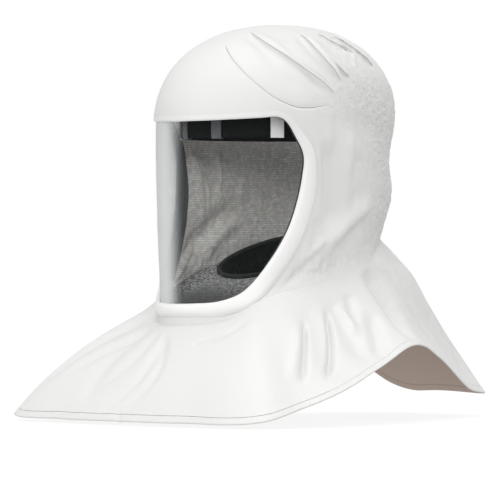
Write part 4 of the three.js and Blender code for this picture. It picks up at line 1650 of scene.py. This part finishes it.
@dataclass
class HeadShell:
    """Front, crown and gathered back, sewn into one shell round the head."""

    pattern: HoodPattern
    front_columns: int = 640
    front_rows: int = 60
    front_ease: float = 0.4
    crown_columns: int = 440
    crown_rows: int = 88
    crown_crowding: float = 0.9
    crown_sparse: float = 0.35
    crown_dense: Spot = (78.0, 42.0)
    sweep_steps: int = 1440
    back_columns: int = 250
    back_rows: int = 150
    back_blend: float = 0.12
    back_ends: float = 0.04
    seam_roll: float = 1.0
    seam_roll_width: float = 2.0
    stitch: Stitch = Stitch(2.6, 0.9, 0.2)
    stitch_inset: float = 3.2
    stitch_span: Span = (16.0, 82.0)
    stitch_samples: int = 160

    def build(self) -> None:
        """Builds and dresses the three panels, with the pleats and stitches of the crown."""
        front = dress(self.front(), ["front_panel"], "hood_cloth", WHITE_CLOTH, GREY_LINING)
        crown = dress(self.crown(), ["crown_panel"], "hood_cloth", WHITE_CLOTH, GREY_LINING)
        pleats = dress(CrownPleats(self.pattern).mesh(), [], "hood_cloth", WHITE_CLOTH, WHITE_CLOTH)
        for side, name in SIDES:
            dress(self.stitches(side, f"crown_stitches_{name}"), [], "hood_cloth", THREAD, THREAD)
        back = dress(self.back(), ["back_panel"], "hood_cloth", WHITE_CLOTH, GREY_LINING)

    def front(self) -> Object:
        """Front panel, from the band round the window to the outer seams.

        Returns:
            The new object.
        """
        pattern = self.pattern
        turn = np.linspace(0.0, 2.0 * pattern.half_steps, self.front_columns, endpoint=False)
        right = turn > pattern.half_steps
        step = np.where(right, 2.0 * pattern.half_steps - turn, turn)
        run = pattern.run_at(step)
        near = pattern.window.beside(run, pattern.band_width(run) + pattern.closed)
        far = pattern.edge_at(step)
        even = np.linspace(0.0, 1.0, self.front_rows)
        eased = (1.0 - np.cos(math.pi * even)) / 2.0
        share = (even + self.front_ease * (eased - even))[:, None]
        side = np.where(right, -1.0, 1.0)
        across = side * (near[0] + (far[0] - near[0]) * share)
        height = near[1] + (far[1] - near[1]) * share
        length = np.hypot(far[0] - near[0], far[1] - near[1])
        shown = np.where(step <= pattern.brow_steps, pattern.seam_shown(pattern.flat.angle(far[0])), 0.0)
        roll = self.seam_roll * shown * hump((1.0 - share) * length, 0.0, self.seam_roll_width)
        roll = roll + pattern.crease(run) * hump(share * length, 0.0, pattern.crease_width)
        folded = pattern.beyond_band(share * length)
        outer, inner = pattern.head_wall(pattern.flat.angle(across), height, -roll, folded)
        # The gathered share is also the mask of painted shade: grey flecks and haze outside, darker patches
        # on the lining.
        gather = pattern.gathered(pattern.flat.angle(across), height)
        return mesh_object("front_cloth", [wall_between(outer, inner, looped=True)], gather)

    def crown(self) -> Object:
        """Crown panel, from its seam up to the top of the head.

        Returns:
            The new object.
        """
        pattern, head = self.pattern, self.pattern.head
        sweep = np.linspace(-180.0, 180.0, self.sweep_steps + 1)
        density = self.crown_sparse + hump(np.abs(sweep[1:]), *self.crown_dense)
        angle = spaced(sweep, density, self.crown_columns)
        foot = (pattern.crown_seam(np.abs(angle)) + pattern.seam_gap(angle)) / head.crown_height
        start = np.arcsin(foot ** (head.squareness / 2.0))
        share = np.linspace(0.0, 1.0, self.crown_rows)[:, None] ** self.crown_crowding
        turn = start + (math.pi / 2.0 - start) * share
        height = head.crown_height * np.minimum(np.sin(turn), 1.0) ** (2.0 / head.squareness)
        places = np.broadcast_to(angle, height.shape)
        rise = distance_along(head.point(places, height))
        roll = self.seam_roll * pattern.seam_shown(angle) * hump(rise, 0.0, self.seam_roll_width)
        outer, inner = pattern.head_wall(places, height, -roll, np.ones_like(height))
        outer[-1], inner[-1] = outer[-1].mean(axis=0), inner[-1].mean(axis=0)
        wall = wall_between(outer, inner, looped=True, pole=True)
        # The gathered share is also the mask of painted shade: grey flecks and haze outside, darker patches
        # on the lining.
        return mesh_object("crown_cloth", [wall], pattern.gathered(places, height))

    def back(self) -> Object:
        """Gathered back panel between the side seams, from the crown seam to the neck line.

        Returns:
            The new object.
        """
        pattern = self.pattern
        share = np.linspace(0.0, 1.0, self.back_rows)[:, None]
        column = np.linspace(0.0, 1.0, self.back_columns)
        edge = pattern.side_seam(share)
        angle = edge + (360.0 - 2.0 * edge) * column
        angle = np.where(angle > 180.0, angle - 360.0, angle)
        place = np.abs(angle)
        top = pattern.crown_seam(place) - pattern.closed
        foot = pattern.neck(place) + pattern.closed
        middle = top + (foot - top) * share
        border = pattern.side_height(share)
        inward = smoothstep(np.minimum(column, 1.0 - column), 0.0, self.back_blend)
        height = border + (middle - border) * inward
        ends = smoothstep(np.minimum(share, 1.0 - share), 0.0, self.back_ends)
        height = middle + (height - middle) * ends
        outer, inner = pattern.head_wall(angle, height, np.zeros_like(height), np.ones_like(height))
        wall = wall_between(outer, inner, looped=False)
        # The gathered share is also the mask of painted shade: grey flecks and haze outside, darker patches
        # on the lining.
        return mesh_object("gathered_back_cloth", [wall], pattern.gathered(angle, height))

    def stitches(self, side: float, name: str) -> Object:
        """Stitches on the front, beside the part of the crown seam that shows.

        Args:
            side: 1 on the left as worn, -1 on the right.
            name: Name of the new object.

        Returns:
            The new object.
        """
        angle = np.linspace(*self.stitch_span, self.stitch_samples)
        height = self.pattern.crown_seam(angle) - self.stitch_inset
        still, folded = np.zeros_like(height), np.ones_like(height)
        line, inner = self.pattern.head_wall(side * angle, height, still, folded)
        return stitch_row(name, line, unit(line - inner), self.stitch)


@dataclass
class Visor:
    """Padded band round the window, the clear film behind it and the tape that seals the film."""

    pattern: HoodPattern
    columns: int = 400
    band_rows: int = 26
    band_bulge: float = 3.2
    edge_roll: float = 0.9
    film: float = 1.0
    film_rest: float = 1.1
    film_margin: float = 12.0
    film_rows: int = 14
    film_middle: float = -85.0
    tape: float = 1.0
    tape_width: float = 26.0
    tape_rest: float = 1.4
    tape_end: float = 0.71
    tape_rows: int = 14
    tape_slack: float = 0.5
    tape_step: float = 3.0

    def build(self) -> None:
        """Builds and dresses the three pieces."""
        band = dress(self.band(), ["visor_border"], "hood_cloth", PIPING_CLOTH, GREY_LINING)
        dress(self.lens(), ["visor_lens"], "visor_film", FILM, FILM)
        # The tape's dark grey is painted shade for the inner face of the band, seen through the film.
        tape = dress(self.seal(), ["lens_seal_tape"], "seal_tape", TAPE, TAPE)

    def runs(self) -> Grid:
        """Shares of the window outline all the way round, from brow to chin and back on the right."""
        turn = np.linspace(0.0, 2.0, self.columns, endpoint=False)
        return np.where(turn <= 1.0, turn, turn - 2.0)

    def band(self) -> Object:
        """Padded band, rounded between its two edges.

        Returns:
            The new object.
        """
        run = np.broadcast_to(self.runs(), (self.band_rows, self.columns))
        pattern = self.pattern
        width = pattern.band_width(run) - pattern.closed
        share = ((1.0 - np.cos(math.pi * np.linspace(0.0, 1.0, self.band_rows))) / 2.0)[:, None]
        full = np.sqrt(np.maximum(1.0 - (2.0 * share - 1.0) ** 2, 0.0))
        bulge = self.band_bulge * pattern.crease(run) / pattern.crease_depth * full
        bulge = bulge - pattern.crease(run) * hump((1.0 - share) * width, 0.0, pattern.crease_width)
        bulge = bulge - self.edge_roll * hump(share * width, 0.0, self.edge_roll)
        across, height = pattern.window.beside(run, share * width)
        outer, inner = pattern.head_wall(pattern.flat.angle(across), height, bulge, np.zeros_like(height))
        band = wall_between(outer, inner, looped=True)
        # The mask rises past the window's upper corner: painted highlight on the band's outer face round
        # cheeks and chin, and darker painted patches on its lining.
        return mesh_object("visor_piping", [band], pattern.past_corner(run))

    def lens(self) -> Object:
        """Clear film from its margin under the band to the middle of the window.

        Returns:
            The new object.
        """
        pattern, runs = self.pattern, self.runs()
        edge = pattern.window.beside(runs, 0.0)
        margin = pattern.window.beside(runs, np.minimum(self.film_margin, pattern.band_width(runs)))
        scale = np.linspace(1.0, 0.0, self.film_rows)[:, None]
        across = np.vstack([margin[0], edge[0] * scale])
        height = np.vstack([margin[1], self.film_middle + (edge[1] - self.film_middle) * scale])
        angle = pattern.flat.angle(across)
        normals = pattern.head.normal(angle, height)
        outer = pattern.head.point(angle, height) - normals * (pattern.cloth + self.film_rest)
        inner = outer - normals * self.film
        return mesh_object("visor_film", [wall_between(outer, inner, looped=True, pole=True)])

    def seal(self) -> Object:
        """Tape over the inner edge of the film at the brow and the cheeks.

        Returns:
            The new object.
        """
        pattern = self.pattern
        run = np.linspace(-self.tape_end, self.tape_end, self.columns)
        width = pattern.band_width(run)
        margin = np.minimum(self.film_margin, width) + self.tape_slack
        step = margin + self.tape_step
        rim = np.maximum(self.tape_width * width / pattern.cheek_band, step + self.tape_step)
        over_film = pattern.cloth + 2.0 * self.film_rest + self.film
        over_cloth = pattern.cloth + self.tape_rest
        share = np.linspace(0.0, 1.0, self.tape_rows)[:, None]
        distance = rim * share
        inside = over_film + (over_cloth - over_film) * smoothstep(distance, margin, step)
        across, height = pattern.window.beside(np.broadcast_to(run, distance.shape), distance)
        angle = pattern.flat.angle(across)
        normals = pattern.head.normal(angle, height)
        folded = pattern.beyond_band(distance - width)
        inside = inside - np.minimum(pattern.head_shift(angle, height), 0.0) * folded
        outer = pattern.head.point(angle, height) - normals * inside[..., None]
        return mesh_object("seal_tape", [wall_between(outer, outer - normals * self.tape, looped=False)])


@dataclass
class ShoulderBib:
    """Bib over the shoulders and its turned and stitched hem."""

    pattern: HoodPattern
    columns: int = 500
    rows: int = 92
    sweep_steps: int = 2880
    crowding: float = 1.2
    crowded: Spot = (72.0, 18.0)
    neck_gap: float = 0.00015
    hem: float = 9.0
    hem_thickness: float = 2.4
    hem_rows: int = 14
    hem_probe: float = 0.25
    hem_square: float = 8.0
    hem_slit: float = 0.5
    hem_closed: float = 0.03
    hem_closes: Span = (52.0, 66.0)
    stitch: Stitch = Stitch(3.0, 1.0, 0.22)
    stitch_place: float = 0.25
    # Painted shade over the rear flap: its strength, where it rises round the body and where it fades towards
    # the hem.
    flap_painted_shade: float = 0.75
    flap_starts: Span = (102.0, 116.0)
    flap_ends: Span = (0.6, 1.0)

    def __post_init__(self) -> None:
        """Places the columns, closest where the side pleats lie, and the inner edge of the hem."""
        bib = self.pattern.bib
        sweep = np.linspace(-180.0, 180.0, self.sweep_steps + 1)
        steps = np.linalg.norm(np.diff(bib.point(sweep, 1.0), axis=0), axis=-1)
        density = steps * (1.0 + self.crowding * hump(np.abs(sweep[1:]), *self.crowded))
        self.angle = spaced(sweep, density, self.columns)
        last = bib.point(self.angle, 1.0 - self.hem_probe) - bib.point(self.angle, 1.0)
        self.hem_share = 1.0 - self.hem * self.hem_probe / np.linalg.norm(last, axis=-1)

    def build(self) -> None:
        """Builds and dresses the bib, its hem and the stitches."""
        hem = dress(self.hem_fold(), ["bib_hem"], "hood_cloth", WHITE_CLOTH, TAN_BACKING)
        bib = dress(self.cape(), ["bib"], "hood_cloth", WHITE_CLOTH, TAN_BACKING)
        dress(self.stitches(), [], "hood_cloth", THREAD, THREAD)

    def cape(self) -> Object:
        """Bib from the neck line to the hem.

        Returns:
            The new object.
        """
        down = np.linspace(0.0, 1.0, self.rows)[:, None]
        share = down * self.hem_share + self.neck_gap * (1.0 - down)
        angle = np.broadcast_to(self.angle, share.shape)
        outer, inner = self.pattern.bib_wall(angle, share, np.zeros_like(share), self.pattern.cloth)
        # Mask of painted shade, a grey haze and a few flecks, over the rear flap.
        flap = smoothstep(np.abs(angle), *self.flap_starts) * (1.0 - smoothstep(share, *self.flap_ends))
        return mesh_object("bib_cloth", [wall_between(outer, inner, looped=True)], self.flap_painted_shade * flap)

    def stitches(self) -> Object:
        """Stitches along the hem, near its inner edge.

        Returns:
            The new object.
        """
        share = self.hem_share + (1.0 - self.hem_share) * self.stitch_place
        rest = np.full_like(share, (self.hem_thickness - self.pattern.cloth) / 2.0)
        line, inner = self.pattern.bib_wall(self.angle, share, rest, self.hem_thickness)
        return stitch_row("hem_stitches", line, unit(line - inner), self.stitch)

    def hem_fold(self) -> Object:
        """Hem: the edge turned under, as a soft flat roll.

        Returns:
            The new object.
        """
        slit = self.hem_slit * (1.0 - smoothstep(np.abs(self.angle), *self.hem_closes)) + self.hem_closed
        start = self.hem_share + (1.0 - self.hem_share) * slit / self.hem
        place, full = pillow(self.hem_rows, self.hem_square)
        share = start + (1.0 - start) * ((place + 1.0) / 2.0)[:, None]
        angle = np.broadcast_to(self.angle, share.shape)
        half = (self.hem_thickness / 2.0) * full[:, None] + np.zeros_like(share)
        middle = half - self.pattern.cloth / 2.0
        outer, inner = self.pattern.bib_wall(angle, share, middle, 2.0 * half)
        return mesh_object("bib_hem_fold", [wall_between(outer, inner, looped=True)])


@dataclass
class HeadHarness:
    """Foam headband under mesh, with two loops at the brow and the tabs that hold it to the cloth."""

    pattern: HoodPattern
    half_width: float = 83.0
    half_length: float = 104.0
    middle: float = -11.0
    thickness: float = 5.0
    height: float = 38.0
    columns: int = 160
    rows: int = 16
    loop_angle: float = 16.5
    loop_width: float = 11.0
    loop_thickness: float = 0.8
    loop_gap: float = 0.3
    loop_round: float = 0.35
    loop_columns: int = 9
    loop_rows: int = 48
    tab_angle: float = 58.0
    tab_lean: float = 68.0
    tab_width: float = 15.0
    tab_thickness: float = 1.6
    tab_top: float = 38.0
    tab_lie: float = 10.0
    tab_rest: float = 0.4
    tab_inset: float = 2.6
    tab_bend: float = 4.0
    tab_columns: int = 7
    corner_steps: int = 12
    corner_share: float = 0.4

    def build(self) -> None:
        """Builds and dresses the headband, its loops and tabs."""
        pad = dress(self.pad(), ["headband"], "band_foam", MESH, MESH)
        for side, name in SIDES:
            dress(self.loop(side, f"headband_loop_{name}"), [], "band_foam", LOOP, LOOP)
            tab = self.tab(side, f"tab_webbing_{name}")
            dress(tab, [f"headband_tab_{name}"], "tab_webbing", WEBBING, WEBBING)

    def ring(self, turn: Grid, inset: Grid, height: Grid) -> Grid:
        """Places on the headband.

        Args:
            turn: Angles from the brow.
            inset: Distances inward from the outer face.
            height: Heights above the middle of the band.

        Returns:
            Points with x, y and z last.
        """
        turn, inset, height = np.broadcast_arrays(np.radians(turn), inset, height)
        across = (self.half_width - inset) * np.sin(turn)
        return np.stack([across, self.middle - (self.half_length - inset) * np.cos(turn), height], axis=-1)

    def pad(self) -> Object:
        """Headband: an oval strip of foam with rounded edges.

        Returns:
            The new object.
        """
        turn = np.linspace(0.0, 360.0, self.columns, endpoint=False)
        place, full = pillow(self.rows)
        height = (place * self.height / 2.0)[:, None]
        half = (full * self.thickness / 2.0)[:, None]
        outer = self.ring(turn, self.thickness / 2.0 - half, height)
        inner = self.ring(turn, self.thickness / 2.0 + half, height)
        return mesh_object("headband_pad", [wall_between(outer, inner, looped=True)])

    def loop(self, side: float, name: str) -> Object:
        """Elastic loop round the headband beside the brow.

        Args:
            side: 1 on the left as worn, -1 on the right.
            name: Name of the new object.

        Returns:
            The new object.
        """
        half_turn = math.degrees(self.loop_width / 2.0 / self.half_width)
        turn = side * (self.loop_angle + np.linspace(-half_turn, half_turn, self.loop_columns))
        around = np.linspace(0.0, 2.0 * math.pi, self.loop_rows, endpoint=False)[:, None]
        rise, reach = (
            np.sign(wave) * np.abs(wave) ** self.loop_round for wave in (np.sin(around), np.cos(around))
        )
        faces = []
        for grow in (self.loop_gap + self.loop_thickness, self.loop_gap):
            inset = self.thickness / 2.0 - reach * (self.thickness / 2.0 + grow)
            points = self.ring(turn, inset, rise * (self.height / 2.0 + grow))
            faces.append(np.swapaxes(points, 0, 1))
        return mesh_object(name, [wall_between(*faces, looped=True)])

    def tab(self, side: float, name: str) -> Object:
        """Webbing tab that lies on the headband, leans out above it and lies against the cloth.

        Args:
            side: 1 on the left as worn, -1 on the right.
            name: Name of the new object.

        Returns:
            The new object.
        """
        lean = math.radians(self.tab_lean)
        foot = self.ring(self.tab_angle, 0.0, 0.0)
        out = np.array([math.sin(lean), -math.cos(lean), 0.0])
        width_way = np.array([math.cos(lean), math.sin(lean), 0.0])
        half, high = self.height / 2.0, (self.tab_top - self.tab_lie, self.tab_top)
        reach = [self.cloth_reach(foot, out, at) - self.tab_inset for at in high]
        near = self.tab_rest + self.tab_thickness / 2.0
        corners = [(near, -half), (near, half - self.tab_bend), *zip(reach, high)]
        line = self.rounded(np.array(corners))
        slope = unit(np.gradient(line, axis=0))
        facing = np.stack([slope[:, 1], -slope[:, 0]], axis=-1) * self.tab_thickness / 2.0
        across = np.linspace(-0.5, 0.5, self.tab_columns) * self.tab_width
        faces = []
        for edge in (line + facing, line - facing):
            points = foot + edge[:, None, :1] * out + across[:, None] * width_way
            points[..., 2] += edge[:, 1:]
            faces.append(points * np.array([side, 1.0, 1.0]))
        return mesh_object(name, [wall_between(*faces, looped=False)])

    def rounded(self, corners: Grid) -> Grid:
        """Smooth line that follows corners closely.

        Args:
            corners: Corners, from the first end to the last.

        Returns:
            Points of the line.
        """
        t = np.linspace(0.0, 1.0, self.corner_steps, endpoint=False)[:, None]
        line = [corners[:1]]
        for start, corner, end in zip(corners[:-2], corners[1:-1], corners[2:]):
            enter = corner + (start - corner) * self.corner_share
            leave = corner + (end - corner) * self.corner_share
            line.append(bend(enter, corner, leave, t))
        return np.vstack([*line, corners[-1:]])

    def cloth_reach(self, foot: Grid, out: Grid, height: float) -> float:
        """Distance from the headband to the cloth's outer face.

        Args:
            foot: Place on the headband.
            out: Level direction in which to measure.
            height: Height at which to measure.

        Returns:
            The distance.
        """
        angle, at = np.array(self.tab_angle), np.array(height)
        normal = self.pattern.head.normal(angle[None], at[None])[0]
        gap = self.pattern.head.point(angle, at) - np.array([foot[0], foot[1], height])
        return float(gap @ normal / (out @ normal))


@dataclass
class NeckSeal:
    """Inner collar that hangs from the neck line and the knitted cuff round the neck."""

    pattern: HoodPattern
    height: float = -147.0
    slope: float = 0.4
    rise: float = 5.0
    lift: float = 3.0
    rest: float = 1.5
    hole: float = 62.0
    hole_gap: float = 0.05
    columns: int = 260
    rows: int = 26
    folds: float = 2.4
    waves: Crumple = Crumple((14.0, 1.0, 1.0), 2.2)
    # Span of y over which the collar's painted highlight rises, lighter towards the neck hole and the back.
    painted_highlight: Span = (-112.0, -62.0)
    cuff_depth: float = 58.0
    cuff_taper: float = 8.0
    cuff_tapers: Span = (0.05, 1.0)
    cuff_thickness: float = 2.2
    ribs: int = 64
    rib_depth: float = 0.7
    ribs_start: Span = (0.1, 0.25)
    cuff_columns: int = 384
    cuff_rows: int = 16
    cuff_lip: float = 4.5
    lip_turn: Span = (-0.2, 1.6)
    lip_inset: float = 0.6
    lip_rows: int = 14

    def build(self) -> None:
        """Builds and dresses collar and cuff."""
        collar = dress(self.collar(), ["inner_collar"], "collar_cloth", COLLAR, COLLAR)
        cuff = dress(self.cuff(), ["neck_cuff"], "cuff_knit", KNIT, KNIT, LIP, LIP)

    def collar(self) -> Object:
        """Collar, with slack folds that run in towards the neck hole.

        Returns:
            The new object.
        """
        pattern = self.pattern
        angle = np.linspace(-180.0, 180.0, self.columns, endpoint=False)
        height = pattern.neck(np.abs(angle)) + self.lift
        normals = pattern.head.normal(angle, height)
        edge = pattern.head.point(angle, height) - normals * (pattern.cloth + self.rest)
        turn = np.radians(angle)
        hole = self.hole + self.hole_gap
        forward = -hole * np.cos(turn) / math.hypot(1.0, self.slope)
        rim = np.stack([hole * np.sin(turn), forward, self.height + self.slope * forward], axis=-1)
        share = np.linspace(0.0, 1.0, self.rows)[:, None, None]
        points = edge + (rim - edge) * share
        up = unit(np.array([0.0, -self.slope, 1.0]))
        slack = np.sin(math.pi * share[..., 0])
        outer = points + up * ((self.rise + self.folds * self.waves.along(angle)) * slack)[..., None]
        wall = wall_between(outer, outer - up * pattern.cloth, looped=True)
        # The mask paints the collar lighter towards the neck hole and the back: a painted highlight.
        return mesh_object("collar_cloth", [wall], smoothstep(outer[..., 1], *self.painted_highlight))

    def cuff(self) -> Object:
        """Ribbed cuff: a tapered tube below the neck hole with a rolled lip.

        Returns:
            The new object.
        """
        turn = np.linspace(0.0, 2.0 * math.pi, self.cuff_columns, endpoint=False)
        out = np.stack([np.sin(turn), -np.cos(turn), 0.0 * turn], axis=-1)
        rib = self.rib_depth * (np.cos(self.ribs * turn) - 1.0) / 2.0
        roll = self.cuff_lip / 2.0
        down = np.linspace(0.0, 1.0, self.cuff_rows)[:, None]
        taper = self.cuff_taper * smoothstep(down, *self.cuff_tapers)
        radius = self.hole - taper + rib * smoothstep(down, *self.ribs_start)
        level = roll - (self.cuff_depth + roll) * down + 0.0 * rib
        around = math.pi * np.linspace(*self.lip_turn, self.lip_rows)[:, None]
        sections = [(radius - thick, level) for thick in (0.0, self.cuff_thickness)]
        for reach in (roll, roll - self.cuff_thickness / 2.0):
            across = self.hole - self.lip_inset + reach * np.cos(around) + rib
            sections.append((across, roll + reach * np.sin(around) + 0.0 * rib))
        tilt = np.array(Matrix.Rotation(math.atan(self.slope), 3, "X"))
        faces = [
            (out * across[..., None] + UP * rise[..., None]) @ tilt.T + UP * self.height
            for across, rise in sections
        ]
        tube, lip = wall_between(*faces[:2], looped=True), wall_between(*faces[2:], looped=True)
        return mesh_object("neck_rib_knit", [tube, Wall(lip.points, lip.quads, lip.slots + 2)])


@dataclass(frozen=True)
class SoftLight:
    """Broad light: its name, the direction that it comes from and its strength."""

    name: str
    comes_from: tuple[float, float, float]
    strength: float


@dataclass
class Studio:
    """Paper floor, soft lights and the camera."""

    target: tuple[float, float, float] = (-0.0181, -0.0181, -0.139)
    distance: float = 5.0
    azimuth: float = 45.0
    focal: float = 330.3
    sensor: float = 36.0
    farthest: float = 100.0
    floor: float = -0.324
    floor_size: float = 60.0
    sky: float = 0.62
    paper: float = 1.0
    lights: tuple[SoftLight, ...] = (
        SoftLight("key_softbox", (0.75, -0.6, 0.3), 0.8),
        SoftLight("top_softbox", (0.1, 0.0, 1.0), 1.22),
        SoftLight("fill_softbox", (-0.1, -0.95, 0.25), 0.8),
        SoftLight("back_softbox", (0.6, 0.8, 0.2), 0.3),
    )
    softness: float = 40.0
    glow: float = 0.13
    glow_place: tuple[float, float, float] = (0.0, 0.0, 0.08)
    glow_size: float = 0.1

    def build(self) -> None:
        """Sets floor, sky, light and camera."""
        scene = bpy.context.scene
        scene.view_settings.view_transform = "Standard"
        self.sweep()
        for light in self.lights:
            self.sun(light)
        self.panel()
        world = bpy.data.worlds.new("studio_sky")
        world.use_nodes = True
        tree = world.node_tree
        tree.nodes.clear()
        sky, paper = (
            add_node(tree, "ShaderNodeBackground", {"Strength": strength, "Color": linear("#ffffff")})
            for strength in (self.sky, self.paper)
        )
        seen = add_node(tree, "ShaderNodeLightPath", {}).outputs["Is Camera Ray"]
        light = add_node(tree, "ShaderNodeMixShader", {0: seen, 1: sky, 2: paper})
        add_node(tree, "ShaderNodeOutputWorld", {"Surface": light})
        scene.world = world
        self.camera()

    def sweep(self) -> None:
        """Paper floor under the hem."""
        half = self.floor_size / 2.0
        corners = ((-half, -half), (half, -half), (half, half), (-half, half))
        mesh = bpy.data.meshes.new("studio_floor")
        mesh.from_pydata([(x, y, self.floor) for x, y in corners], [], [(0, 1, 2, 3)])
        mesh.materials.append(FLOOR.material())
        sheet = bpy.data.objects.new("studio_floor", mesh)
        bpy.context.scene.collection.objects.link(sheet)

    def panel(self) -> None:
        """Small light under the crown, which stands for the light that comes through its cloth."""
        lamp = bpy.data.lights.new("crown_glow", "AREA")
        lamp.energy, lamp.size = self.glow, self.glow_size
        box = bpy.data.objects.new("crown_glow", lamp)
        box.location = self.glow_place
        box.visible_camera = False
        bpy.context.scene.collection.objects.link(box)

    def sun(self, light: SoftLight) -> None:
        """Broad soft light from a direction.

        Args:
            light: Its name, direction and strength.
        """
        lamp = bpy.data.lights.new(light.name, "SUN")
        lamp.energy, lamp.angle = light.strength, math.radians(self.softness)
        box = bpy.data.objects.new(light.name, lamp)
        box.location = light.comes_from
        box.rotation_euler = (-Vector(light.comes_from)).to_track_quat("-Z", "Y").to_euler()
        bpy.context.scene.collection.objects.link(box)

    def camera(self) -> None:
        """Long lens level with the middle of the hood."""
        lens = bpy.data.cameras.new("camera")
        lens.lens, lens.sensor_width = self.focal, self.sensor
        lens.clip_end = self.farthest
        turn = math.radians(self.azimuth)
        eye = bpy.data.objects.new("camera", lens)
        away = Vector((math.sin(turn), -math.cos(turn), 0.0))
        eye.location = Vector(self.target) + away * self.distance
        eye.rotation_euler = (-away).to_track_quat("-Z", "Y").to_euler()
        bpy.context.scene.collection.objects.link(eye)
        bpy.context.scene.camera = eye


def main() -> None:
    """Builds the hood piece by piece, then the studio."""
    logging.basicConfig(level=logging.INFO, format="%(name)s %(message)s")
    pattern = HoodPattern()
    for assembly in (
        HeadShell(pattern),
        Visor(pattern),
        ShoulderBib(pattern),
        HeadHarness(pattern),
        NeckSeal(pattern),
    ):
        LOG.info("building %s", type(assembly).__name__)
        assembly.build()
    Studio().build()


if __name__ == "__main__":
    main()
